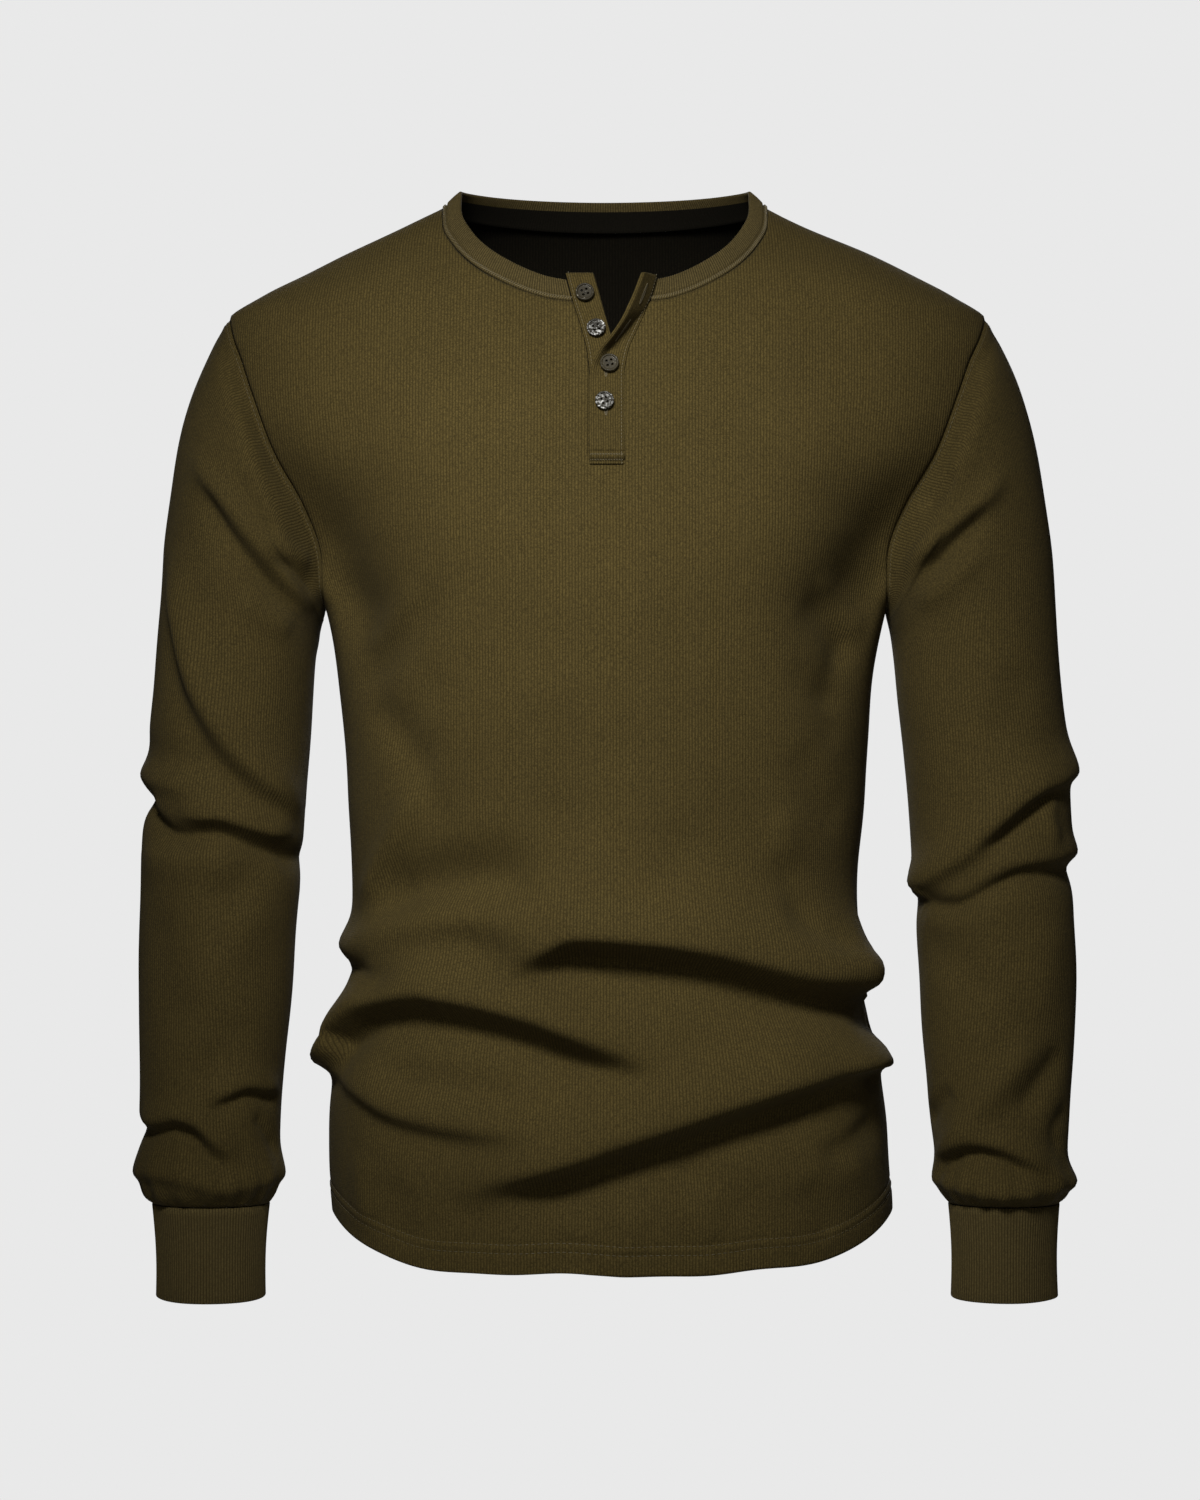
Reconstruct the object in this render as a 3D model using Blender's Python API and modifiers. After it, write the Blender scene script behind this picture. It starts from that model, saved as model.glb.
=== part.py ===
"""Long-sleeved henley shirt, worn shape with no wearer.

Frame: +Z up, front towards -Y, +X towards the wearer's left.
The origin is at the middle of the neck's base, where the wearer holds the shirt up.
Tables are in millimetres; "drop" is the distance below the origin.
"""

import math

import bmesh
import bpy
import numpy as np
from mathutils import Vector

MM = 0.001

# Cloth walls and gaps
BODY_WALL = 1.5
BAND_WALL = 2.2
PLACKET_WALL = 1.4
SEAM_GAP = 0.35
LAY_GAP = 0.5

# Columns and rows of the panels
ARM_STEPS = 9
SHOULDER_COLUMNS = 4
NECK_COLUMNS = 6
MIDDLE_COLUMNS = 3
SLIT_ROWS = 8
WAIST_ROWS = 6
SKIRT_ROWS = 13
SLEEVE_STEPS = 20
PLACKET_STEPS = 12
EDGE_STRIP = 3

# Fixed heights
SHOULDER_DROP = 60
ARMPIT_DROP = 248
NECK_POINT_DROP = -11
SIDE_HEM_DROP = 628
FRONT_HEM_DROP = 657
BACK_HEM_DROP = 672
WAIST_DROP = 430
CUFF_TOP_DROP = 622
CUFF_BOTTOM_DROP = 681
SLIT_FOOT_DROP = 156

# Torso sections: half widths on the wearer's right and left, depth of the front and back, squareness
TORSO = [
    dict(drop=-11, right=104, left=103, front=22, back=66, square=2.1),
    dict(drop=0, right=127, left=127, front=40, back=76, square=2.1),
    dict(drop=18, right=166, left=168, front=54, back=86, square=2.1),
    dict(drop=34, right=195, left=199, front=69, back=92, square=2.1),
    dict(drop=46, right=219, left=223, front=76, back=95, square=2.1),
    dict(drop=60, right=241, left=244, front=81, back=98, square=2.1),
    dict(drop=80, right=248, left=250, front=89, back=102, square=2.15),
    dict(drop=105, right=247, left=249, front=97, back=106, square=2.12),
    dict(drop=140, right=238, left=240, front=108, back=111, square=2.08),
    dict(drop=180, right=221, left=223, front=115, back=114, square=2.05),
    dict(drop=215, right=199, left=201, front=119, back=114, square=2.05),
    dict(drop=248, right=178, left=179, front=121, back=112, square=2.05),
    dict(drop=300, right=170, left=170, front=120, back=107, square=2.05),
    dict(drop=360, right=164, left=166, front=117, back=101, square=2.1),
    dict(drop=430, right=161, left=161, front=115, back=99, square=2.15),
    dict(drop=480, right=164, left=166, front=119, back=103, square=2.3),
    dict(drop=530, right=172, left=174, front=125, back=110, square=2.3),
    dict(drop=580, right=176, left=180, front=129, back=116, square=2.3),
    dict(drop=630, right=174, left=183, front=130, back=118, square=2.3),
    dict(drop=690, right=168, left=178, front=129, back=118, square=2.3),
]

# Armhole seam: distance from the centre line on the front and on the back
ARMHOLE = [
    dict(drop=60, front=243, back=243),
    dict(drop=77, front=237, back=241),
    dict(drop=90, front=231, back=237),
    dict(drop=107, front=225, back=232),
    dict(drop=144, front=211, back=220),
    dict(drop=183, front=192, back=203),
    dict(drop=219, front=181, back=188),
    dict(drop=248, front=178, back=178),
]

# Front neck seam, from the shoulder to the placket
NECKLINE = [
    dict(out=104, drop=-11),
    dict(out=102.5, drop=5),
    dict(out=95.5, drop=18),
    dict(out=83.5, drop=31),
    dict(out=65, drop=43),
    dict(out=47, drop=51),
    dict(out=33, drop=55),
    dict(out=20, drop=56.5),
]
BACK_NECK_DROP = -7

# Slit edges of the front and free edge of the button stand: distance to the wearer's left of centre
SLIT = [
    dict(drop=36, stand=-25.5, stand_free=-7.8, over_seam=34.5, edge=32),
    dict(drop=56, stand=-20.5, stand_free=-2.5, over_seam=28.5, edge=26),
    dict(drop=74, stand=-15, stand_free=2.5, over_seam=20.5, edge=18),
    dict(drop=90, stand=-11.3, stand_free=6.3, over_seam=14, edge=11.6),
    dict(drop=105, stand=-9.9, stand_free=8.4, over_seam=11.7, edge=9.2),
    dict(drop=160, stand=-9.9, stand_free=8.4, over_seam=11.7, edge=9.2),
]
PLACKET_TOP_DROP = 38
OVER_FOOT_DROP = 160
UNDER_FOOT_DROP = 155
OVER_WIDTH = 21.5
# The hollow between the chest and the arm
HOLLOW = dict(depth=22, reach=42, rim=12, top=120, deepest=210, low=225, foot=335)

OVER_CURL = [
    dict(drop=36, degrees=112),
    dict(drop=60, degrees=98),
    dict(drop=78, degrees=72),
    dict(drop=94, degrees=44),
    dict(drop=110, degrees=12),
    dict(drop=122, degrees=0),
    dict(drop=170, degrees=0),
]

# Neckband: height and lean from the horizontal at the front, side and back
BAND_HEIGHT = 16
BAND_LEAN = dict(front=65, side=43, back=78)
BAND_SKEW = 6.4
BAND_SKEW_REACH = 25

# Sleeve rings: outer and inner end seen from the front, middle and half depth seen from the side
RIGHT_SLEEVE = [
    dict(out=252, out_drop=80, inn=180, in_drop=252, mid=2, deep=63),
    dict(out=265, out_drop=110, inn=181, in_drop=256, mid=2, deep=63),
    dict(out=275, out_drop=152, inn=182, in_drop=261, mid=1, deep=61),
    dict(out=281, out_drop=196, inn=183, in_drop=268, mid=1, deep=59),
    dict(out=284, out_drop=240, inn=185, in_drop=279, mid=0, deep=58),
    dict(out=288, out_drop=290, inn=187, in_drop=303, mid=-1, deep=57),
    dict(out=292, out_drop=334, inn=189, in_drop=338, mid=-3, deep=56),
    dict(out=295, out_drop=384, inn=192, in_drop=384, mid=-7, deep=54),
    dict(out=296, out_drop=440, inn=196, in_drop=440, mid=-13, deep=51),
    dict(out=296, out_drop=500, inn=200, in_drop=500, mid=-20, deep=47),
    dict(out=295, out_drop=556, inn=205, in_drop=556, mid=-27, deep=44),
    dict(out=294, out_drop=596, inn=206, in_drop=594, mid=-32, deep=43),
    dict(out=292, out_drop=614, inn=207, in_drop=612, mid=-34, deep=42),
    dict(out=286, out_drop=621.6, inn=212, in_drop=621.6, mid=-35, deep=35),
]
LEFT_SLEEVE = [
    dict(out=254, out_drop=78, inn=181, in_drop=252, mid=2, deep=63),
    dict(out=266, out_drop=106, inn=182, in_drop=256, mid=2, deep=63),
    dict(out=277, out_drop=148, inn=183, in_drop=261, mid=1, deep=61),
    dict(out=284, out_drop=196, inn=184, in_drop=268, mid=1, deep=59),
    dict(out=288, out_drop=240, inn=185, in_drop=279, mid=0, deep=58),
    dict(out=291, out_drop=286, inn=187, in_drop=303, mid=-1, deep=57),
    dict(out=295, out_drop=332, inn=191, in_drop=338, mid=-3, deep=56),
    dict(out=298, out_drop=384, inn=195, in_drop=388, mid=-7, deep=54),
    dict(out=299, out_drop=440, inn=198, in_drop=444, mid=-13, deep=51),
    dict(out=299, out_drop=500, inn=201, in_drop=500, mid=-20, deep=47),
    dict(out=295, out_drop=556, inn=205, in_drop=556, mid=-27, deep=44),
    dict(out=292, out_drop=596, inn=209, in_drop=594, mid=-32, deep=43),
    dict(out=292, out_drop=614, inn=210, in_drop=612, mid=-34, deep=42),
    dict(out=287, out_drop=621.6, inn=217, in_drop=621.6, mid=-35, deep=34),
]
SEAM_STRIP = dict(shoulder=5, armpit=2)

# Largest folds: points (to the wearer's left, towards the back, drop) on the cloth, width above and
# below the line, height outwards and how far the crest hangs down
BODY_FOLDS = [
    dict(path=[(-68, -110, 460), (7, -115, 438), (70, -110, 443), (130, -80, 466), (172, -10, 478), (120, 80, 470)],
         above=46, below=15, height=13, hang=6),
    dict(path=[(-172, 10, 452), (-140, -70, 452), (-90, -100, 448), (-60, -110, 462)],
         above=26, below=13, height=8, hang=3),
    dict(path=[(-120, 80, 520), (-178, 0, 530), (-142, -80, 493), (-110, -100, 487), (-60, -115, 502), (15, -115, 529)],
         above=24, below=17, height=11, hang=5),
    dict(path=[(184, 0, 543), (136, -85, 536), (80, -112, 545), (40, -115, 560), (-30, -115, 596), (-90, -105, 616)],
         above=34, below=16, height=13, hang=5),
    dict(path=[(-176, 0, 562), (-114, -95, 574), (-42, -115, 570)], above=20, below=14, height=6, hang=2),
    dict(path=[(-160, 40, 470), (-80, 98, 486), (10, 104, 480), (90, 98, 462), (150, 50, 452)],
         above=40, below=18, height=11, hang=4),
    dict(path=[(-172, 20, 540), (-90, 105, 548), (0, 112, 566), (80, 108, 580)], above=32, below=17, height=11, hang=4),
]
RIGHT_SLEEVE_FOLDS = [
    dict(path=[(-276, -20, 170), (-250, -50, 190), (-215, -50, 222), (-190, -40, 243)],
         above=16, below=12, height=7, hang=0),
    dict(path=[(-280, -20, 215), (-270, -50, 290), (-235, -55, 352), (-200, -50, 374), (-190, 0, 380)],
         above=22, below=16, height=8, hang=2),
    dict(path=[(-292, -10, 348), (-292, 30, 350)], above=18, below=12, height=5, hang=2),
    dict(path=[(-296, -30, 605), (-250, -76, 600), (-206, -40, 604)], above=18, below=10, height=5, hang=3),
]
LEFT_SLEEVE_FOLDS = [
    dict(path=[(240, -50, 174), (215, -50, 200), (190, -40, 226)], above=14, below=12, height=6, hang=0),
    dict(path=[(294, -10, 345), (262, -55, 368), (230, -55, 396), (196, -40, 418)], above=20, below=13, height=8, hang=2),
    dict(path=[(298, -10, 396), (292, 30, 400)], above=16, below=12, height=4, hang=2),
    dict(path=[(294, -30, 608), (250, -76, 600), (207, -40, 606)], above=18, below=10, height=5, hang=3),
]

# Buttons: place on the front, and which placket they lie on
BUTTONS = [
    dict(side=-12.6, drop=52, on="under"),
    dict(side=-5.6, drop=75, on="under"),
    dict(side=2.6, drop=98, on="over"),
    dict(side=-0.4, drop=122, on="over"),
]
BUTTON_RADIUS = 5.8
BUTTON_THICK = 2.6
BUTTON_DISH = 0.9
BUTTON_RIM = 1.2
HOLE_RADIUS = 0.85
HOLE_OUT = 1.9
BUTTON_LIFT = 1.0

# Colour and roughness of each finish
FINISHES = {
    "cloth": ((0.068, 0.050, 0.018, 1), 0.9),
    "rib": ((0.064, 0.047, 0.017, 1), 0.9),
    "button": ((0.055, 0.045, 0.028, 1), 0.25),
}

UP = np.array([0.0, 0.0, 1.0])
FORWARD = np.array([0.0, -1.0, 0.0])


def slopes_of(x, y):
    """Slopes for a smooth curve through table values that never overshoots."""
    step = np.diff(x)
    rise = np.diff(y) / step
    slope = np.zeros(len(x))
    slope[0] = rise[0]
    slope[-1] = rise[-1]
    for i in range(1, len(x) - 1):
        if rise[i - 1] * rise[i] > 0:
            slope[i] = 2 * rise[i - 1] * rise[i] / (rise[i - 1] + rise[i])
    return slope


def read_table(table, key, column, at):
    """A column of a table, read smoothly at the key values given."""
    x = np.array([row[key] for row in table], float)
    y = np.array([row[column] for row in table], float)
    slope = slopes_of(x, y)
    at = np.clip(np.asarray(at, float), x[0], x[-1])
    i = np.clip(np.searchsorted(x, at, side="right") - 1, 0, len(x) - 2)
    step = x[i + 1] - x[i]
    t = (at - x[i]) / step
    return (
        y[i] * (1 + 2 * t) * (1 - t) ** 2
        + slope[i] * step * t * (1 - t) ** 2
        + y[i + 1] * t * t * (3 - 2 * t)
        + slope[i + 1] * step * t * t * (t - 1)
    )


def half_width(drop, side):
    """Half width of the form on one side, or on each point's own side."""
    left = read_table(TORSO, "drop", "left", drop)
    right = read_table(TORSO, "drop", "right", drop)
    return np.where(np.asarray(side) < 0, right, left)


def torso(side, drop, face):
    """Points of the body's smooth form at a distance left of centre; face is -1 in front, 1 behind."""
    drop = np.asarray(drop, float) + 0 * np.asarray(side, float)
    deep = read_table(TORSO, "drop", "front" if face < 0 else "back", drop)
    square = read_table(TORSO, "drop", "square", drop)
    ratio = np.clip(np.abs(side) / half_width(drop, side), 0, 1)
    out = face * deep * (1 - ratio**square) ** (1 / square)
    return np.stack([side + 0 * drop, out, -drop], axis=-1)


def torso_normals(side, drop, face):
    """Unit outward normals of the form, from small steps round it and down it."""
    turn = np.arcsin(np.clip(side / half_width(drop, side), -1, 1))
    turn = np.clip(turn, -1.52, 1.52)

    def at(angle, level):
        return torso(np.sin(angle) * half_width(level, side), level, face)

    across = at(turn + 0.02, drop) - at(turn - 0.02, drop)
    down = at(turn, drop + 0.8) - at(turn, drop - 0.8)
    normal = np.cross(across, down) * face
    return normal / np.linalg.norm(normal, axis=-1, keepdims=True)


def packed(n):
    """n + 1 values from 0 to 1, packed towards both ends."""
    return (1 - np.cos(np.linspace(0, math.pi, n + 1))) / 2


def armhole_edge(side, face):
    """From the shoulder point to the armpit, as (side, drop)."""
    drop = SHOULDER_DROP + (ARMPIT_DROP - SHOULDER_DROP) * packed(ARM_STEPS)
    out = read_table(ARMHOLE, "drop", "front" if face < 0 else "back", drop)
    fade = np.clip((drop - drop[0]) / 40, 0, 1)
    out = out - (out[0] - half_width(drop[0], side)) * (1 - fade * fade * (3 - 2 * fade))
    out = np.minimum(out, half_width(drop, side))
    out[[0, -1]] = half_width(drop[[0, -1]], side)
    return np.stack([side * out, drop], axis=-1)


def side_edge(side):
    """Down the side seam, from just below the armpit to the hem."""
    waist = np.linspace(ARMPIT_DROP, WAIST_DROP, WAIST_ROWS + 1)[1:]
    skirt = np.linspace(WAIST_DROP, SIDE_HEM_DROP, SKIRT_ROWS + 1)[1:]
    drop = np.concatenate([waist, skirt])
    return np.stack([side * half_width(drop, side), drop], axis=-1)


def shoulder_edge(side):
    """From the shoulder point up to the neck."""
    drop = np.linspace(SHOULDER_DROP, NECK_POINT_DROP, SHOULDER_COLUMNS + 1)
    return np.stack([side * half_width(drop, side), drop], axis=-1)


def front_neck_edge(side, foot):
    """From the shoulder's neck point down to the slit, as (side, drop)."""
    rows = [dict(at=i / (len(NECKLINE) - 1), **row) for i, row in enumerate(NECKLINE)]
    at = np.linspace(0, 1, NECK_COLUMNS + 1)
    out = read_table(rows, "at", "out", at)
    out = out[0] - (out[0] - out) * (out[0] - abs(foot)) / (out[0] - out[-1])
    out[0] = half_width(NECK_POINT_DROP, side)
    return np.stack([side * out, read_table(rows, "at", "drop", at)], axis=-1)


def back_neck_edge():
    """From the right neck point round the back to the left one."""
    turn = np.linspace(-math.pi / 2, math.pi / 2, 2 * NECK_COLUMNS + 1)
    side = np.sin(turn) * half_width(NECK_POINT_DROP, turn)
    return np.stack([side, NECK_POINT_DROP + (BACK_NECK_DROP - NECK_POINT_DROP) * np.cos(turn)], axis=-1)


def hem_edge(side, drop_middle):
    """The shirt-tail hem's drop at distances left of centre."""
    ratio = np.abs(side) / half_width(SIDE_HEM_DROP, side)
    return np.stack([side, drop_middle - (drop_middle - SIDE_HEM_DROP) * ratio**5.4], axis=-1)


def patch(left, right, top, bottom, u):
    """Grid of (side, drop) between four edges; u says where each column lies from left to right."""
    v = np.linspace(0, 1, len(left))[:, None, None]
    u = np.asarray(u)[None, :, None]
    across = (1 - u) * left[:, None] + u * right[:, None]
    from_top = top[None] - (1 - u) * top[0] - u * top[-1]
    from_bottom = bottom[None] - (1 - u) * bottom[0] - u * bottom[-1]
    return across + from_top * (1 - v) ** 3 + from_bottom * v**3


def edge_line(edge, inside, face):
    """A line of (side, drop) a few millimetres of cloth in from an edge, so that the wall there stands square."""
    steps = np.geomspace(1e-4, 0.6, 60)[:, None, None]
    tries = edge + (inside - edge) * steps
    cloth = torso(tries[..., 0], tries[..., 1], face)
    reach = np.linalg.norm(cloth - torso(edge[:, 0], edge[:, 1], face), axis=-1)
    best = np.argmin(np.abs(reach - EDGE_STRIP), axis=0)
    return tries[best, np.arange(len(edge))]


def with_edge_lines(grid, face, left, right):
    """A panel's grid with a close line inside its top, left and right edges."""
    grid = np.concatenate([grid[:1], edge_line(grid[0], grid[1], face)[None], grid[1:]])
    if left:
        line = edge_line(grid[:, 0], grid[:, 1], face)[:, None]
        grid = np.concatenate([grid[:, :1], line, grid[:, 1:]], axis=1)
    if right:
        line = edge_line(grid[:, -1], grid[:, -2], face)[:, None]
        grid = np.concatenate([grid[:, :-1], line, grid[:, -1:]], axis=1)
    for column in [1] * left + [-2] * right:
        grid[0, column, 0] = math.copysign(half_width(grid[0, column, 1], grid[0, column, 0]), grid[0, column, 0])
    return grid


def smooth_rows(rows, per):
    """Rows of points with more rows between them, on curves through the ones given."""
    rows = np.asarray(rows, float)
    ends = np.concatenate([2 * rows[:1] - rows[1:2], rows, 2 * rows[-1:] - rows[-2:-1]])
    found = []
    for at in np.linspace(0, len(rows) - 1, per):
        i = min(int(at), len(rows) - 2) + 1
        t = at - i + 1
        a, b, c, d = ends[i - 1], ends[i], ends[i + 1], ends[i + 2]
        found.append(
            0.5 * (2 * b + (c - a) * t + (2 * a - 5 * b + 4 * c - d) * t**2 + (3 * b - a - 3 * c + d) * t**3)
        )
    return np.array(found)


def raise_folds(points, normals, folds, cloud):
    """Moves points of a smooth form into its folds; cloud is the form as points for the folds to lie on."""
    flat, out = points.reshape(-1, 3), normals.reshape(-1, 3)
    moved = flat.copy()
    for row in folds:
        path = smooth_rows(row["path"], 8 * len(row["path"])) * np.array([1, 1, -1])
        path = np.array([cloud[np.argmin(((cloud - p) ** 2).sum(axis=1))] for p in path])
        path[1:-1] = (path[:-2] + 2 * path[1:-1] + path[2:]) / 4
        runs = np.diff(path, axis=0)
        long = np.linalg.norm(runs, axis=1) > 0.5
        starts, runs = path[:-1][long], runs[long]
        lengths = np.linalg.norm(runs, axis=1)
        along = np.cumsum(lengths) - lengths
        offset = flat[:, None] - starts[None]
        t = np.clip((offset * runs).sum(axis=2) / lengths**2, 0, 1)
        away = offset - t[..., None] * runs
        near = np.argmin((away**2).sum(axis=2), axis=1)
        pick = np.arange(len(flat))
        away, t = away[pick, near], t[pick, near]
        place = np.clip((along[near] + t * lengths[near]) / lengths.sum(), 0, 1)
        width = np.where(away[:, 2] >= 0, row["above"], row["below"])
        taper = 0.35 + 0.65 * np.sqrt(np.abs(np.sin(math.pi * place)))
        crest = np.exp(-((away**2).sum(axis=1) / width**2)) * taper
        moved += out * (crest * row["height"])[:, None]
        moved[:, 2] -= crest * row["hang"]
    return moved.reshape(points.shape)


def torso_cloud():
    """The smooth torso as points, for laying its folds on."""
    drop = np.linspace(SHOULDER_DROP, FRONT_HEM_DROP, 100)[:, None]
    turn = np.linspace(-1.57, 1.57, 80)[None]
    side = np.sin(turn) * half_width(drop + 0 * turn, turn + 0 * drop)
    return np.vstack([torso(side, drop, face).reshape(-1, 3) for face in (-1, 1)])


def arm_hollow(side, drop):
    """How far the front falls back between the chest and the arm."""
    edge = read_table(ARMHOLE, "drop", "front", drop)
    down = np.clip((drop - HOLLOW["top"]) / (HOLLOW["deepest"] - HOLLOW["top"]), 0, 1)
    foot = np.clip((HOLLOW["foot"] - drop) / (HOLLOW["foot"] - HOLLOW["low"]), 0, 1)
    down = down * down * (3 - 2 * down) * foot * foot * (3 - 2 * foot)
    inside = 1 - np.exp(-(((half_width(drop, side) - np.abs(side)) / HOLLOW["rim"]) ** 2))
    return HOLLOW["depth"] * down * inside * np.exp(-(((np.abs(side) - edge) / HOLLOW["reach"]) ** 2))


def body_cloth(side, drop, face, lift=0.0):
    """The folded body cloth at (side, drop), moved out by lift."""
    half = half_width(drop, side)
    side = np.clip(side, -half, half)
    out = torso_normals(side, drop, face)
    points = raise_folds(torso(side, drop, face), out, BODY_FOLDS, BODY_CLOUD)
    points = points + out * np.asarray(lift)[..., None]
    return points - FORWARD * arm_hollow(side, drop)[..., None] if face < 0 else points


def new_object(name, points, faces, colour, inside):
    """A sheet from points in millimetres, its faces turned away from the points inside it."""
    mesh = bpy.data.meshes.new(name)
    mesh.from_pydata([tuple(p * MM) for p in points], [], faces)
    bm = bmesh.new()
    bm.from_mesh(mesh)
    bmesh.ops.remove_doubles(bm, verts=bm.verts, dist=0.02 * MM)
    bmesh.ops.recalc_face_normals(bm, faces=bm.faces)
    outward = 0
    for face in bm.faces:
        centre = np.array(face.calc_center_median())
        nearest = inside[np.argmin(((inside * MM - centre) ** 2).sum(axis=1))] * MM
        outward += float(np.dot(centre - nearest, face.normal)) * face.calc_area()
    if outward < 0:
        bmesh.ops.reverse_faces(bm, faces=bm.faces)
    bm.to_mesh(mesh)
    bm.free()
    mesh.shade_smooth()
    mesh.materials.append(MATERIALS[colour])
    thing = bpy.data.objects.new(name, mesh)
    SHIRT.objects.link(thing)
    return thing


def thicken(thing, wall):
    """Gives a sheet its wall, inwards from the face that shows."""
    layer = thing.modifiers.new("wall", "SOLIDIFY")
    layer.thickness = wall * MM
    layer.offset = -1
    return thing


def grid_faces(rows, columns, start=0, closed=False):
    """Four-sided faces of a grid whose points are listed row by row."""
    found = []
    for j in range(rows - 1):
        for i in range(columns if closed else columns - 1):
            a, b, after = start + j * columns, start + (j + 1) * columns, (i + 1) % columns
            found.append((a + i, b + i, b + after, a + after))
    return found


def sheet(name, grids, colour, wall, inside, closed=False):
    """A walled sheet from one or more grids, whose shared edges are welded."""
    points, faces = [], []
    for grid in grids:
        faces += grid_faces(grid.shape[0], grid.shape[1], len(points), closed)
        points += list(grid.reshape(-1, 3))
    return thicken(new_object(name, points, faces, colour, inside), wall)


def build_front():
    """Front panel: a patch each side of the slit, and a strip below it."""
    grids = []
    for side, column in ((-1, "stand"), (1, "edge")):
        slit_top = NECKLINE[-1]["drop"]
        neck = front_neck_edge(side, float(read_table(SLIT, "drop", column, slit_top)))
        top = np.vstack([shoulder_edge(side), neck[1:]])
        outer = np.vstack([armhole_edge(side, -1), side_edge(side)])
        slit = np.linspace(slit_top, SLIT_FOOT_DROP, SLIT_ROWS + 1)
        chest_rows = ARM_STEPS + WAIST_ROWS - SLIT_ROWS
        chest = np.linspace(SLIT_FOOT_DROP, WAIST_DROP, chest_rows + 1)[1:]
        skirt = np.linspace(WAIST_DROP, FRONT_HEM_DROP, SKIRT_ROWS + 1)[1:]
        drop = np.concatenate([slit, chest, skirt])
        inner = np.stack([read_table(SLIT, "drop", column, drop), drop], axis=-1)
        turn = np.linspace(math.pi / 2, 0, len(top))
        hem_side = inner[-1, 0] + (outer[-1, 0] - inner[-1, 0]) * np.sin(turn)
        hem = hem_edge(hem_side, FRONT_HEM_DROP)
        inner[-1] = hem[-1]
        grid = patch(outer, inner, top, hem, 1 - np.sin(turn))
        grids.append(with_edge_lines(grid, -1, left=True, right=False))
    across = np.linspace(0, 1, MIDDLE_COLUMNS + 1)[None, :, None]
    foot = SLIT_ROWS + 1
    grids.append(grids[0][foot:, -1:] * (1 - across) + grids[1][foot:, -1:] * across)
    cloth = [body_cloth(grid[..., 0], grid[..., 1], -1) + FORWARD * SEAM_GAP / 2 for grid in grids]
    sheet("front", cloth, "cloth", BODY_WALL, TORSO_AXIS)


def build_back():
    """Back panel: one patch from shoulder to shoulder and down to the tail."""
    left, right = (np.vstack([armhole_edge(side, 1), side_edge(side)]) for side in (-1, 1))
    top = np.vstack([shoulder_edge(-1), back_neck_edge()[1:-1], shoulder_edge(1)[::-1]])
    turn = np.linspace(-math.pi / 2, math.pi / 2, len(top))
    hem = hem_edge(np.sin(turn) * half_width(SIDE_HEM_DROP, turn), BACK_HEM_DROP)
    grid = patch(left, right, top, hem, (1 + np.sin(turn)) / 2)
    grid = with_edge_lines(grid, 1, left=True, right=True)
    cloth = body_cloth(grid[..., 0], grid[..., 1], 1) - FORWARD * SEAM_GAP / 2
    sheet("back", [cloth], "cloth", BODY_WALL, TORSO_AXIS)


def armhole_loop(side):
    """The armhole from the shoulder point down the front and up the back, and the cloth's way out of it."""
    front, back = armhole_edge(side, -1), armhole_edge(side, 1)[::-1]
    loop = np.vstack([body_cloth(front[:, 0], front[:, 1], -1), body_cloth(back[1:-1, 0], back[1:-1, 1], 1)])
    out = np.vstack([
        torso_normals(front[:, 0], front[:, 1], -1),
        torso_normals(back[1:-1, 0], back[1:-1, 1], 1),
    ])
    run = np.roll(loop, -1, axis=0) - np.roll(loop, 1, axis=0)
    away = np.cross(out, run) * side
    away /= np.linalg.norm(away, axis=1, keepdims=True)
    return loop, away


def sleeve_rings(side, table, steps=SLEEVE_STEPS):
    """Rings of a sleeve's smooth form, from the armhole to the cuff."""
    loop, away = armhole_loop(side)
    height = (loop[:, 2] - loop[:, 2].min()) / (loop[:, 2].max() - loop[:, 2].min())
    strip = SEAM_STRIP["armpit"] + (SEAM_STRIP["shoulder"] - SEAM_STRIP["armpit"]) * height
    rings = [loop + away * SEAM_GAP, loop + away * strip[:, None]]
    turn = np.linspace(0, 2 * math.pi, 2 * ARM_STEPS, endpoint=False)[:, None]
    for row in table:
        outer = np.array([side * row["out"], row["mid"], -row["out_drop"]])
        inner = np.array([side * row["inn"], row["mid"], -row["in_drop"]])
        rings.append((outer + inner) / 2 + (outer - inner) / 2 * np.cos(turn) + FORWARD * row["deep"] * np.sin(turn))
    return np.concatenate([rings[:1], smooth_rows(rings[1:], steps)])


def ring_normals(rings):
    """Unit outward normals of a tube of rings."""
    round_it = np.roll(rings, -1, axis=1) - np.roll(rings, 1, axis=1)
    down = np.gradient(rings, axis=0)
    normal = np.cross(down, round_it)
    normal /= np.linalg.norm(normal, axis=-1, keepdims=True)
    outward = ((rings - rings.mean(axis=1, keepdims=True)) * normal).sum()
    return normal * np.sign(outward)


def build_sleeve(name, side, table, folds):
    """A sleeve tube with its folds, which die out at the armhole and at the cuff."""
    rings = sleeve_rings(side, table)
    out = ring_normals(rings)
    cloud = sleeve_rings(side, table, 90)[2:].reshape(-1, 3)
    folded = raise_folds(rings, out, folds, cloud)
    hold = np.clip(np.arange(len(rings)) - 1, 0, 3) / 3
    hold[-1] = 0
    cloth = rings + (folded - rings) * hold[:, None, None]
    sheet(name, [cloth], "cloth", BODY_WALL, cloth.mean(axis=1), closed=True)


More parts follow.
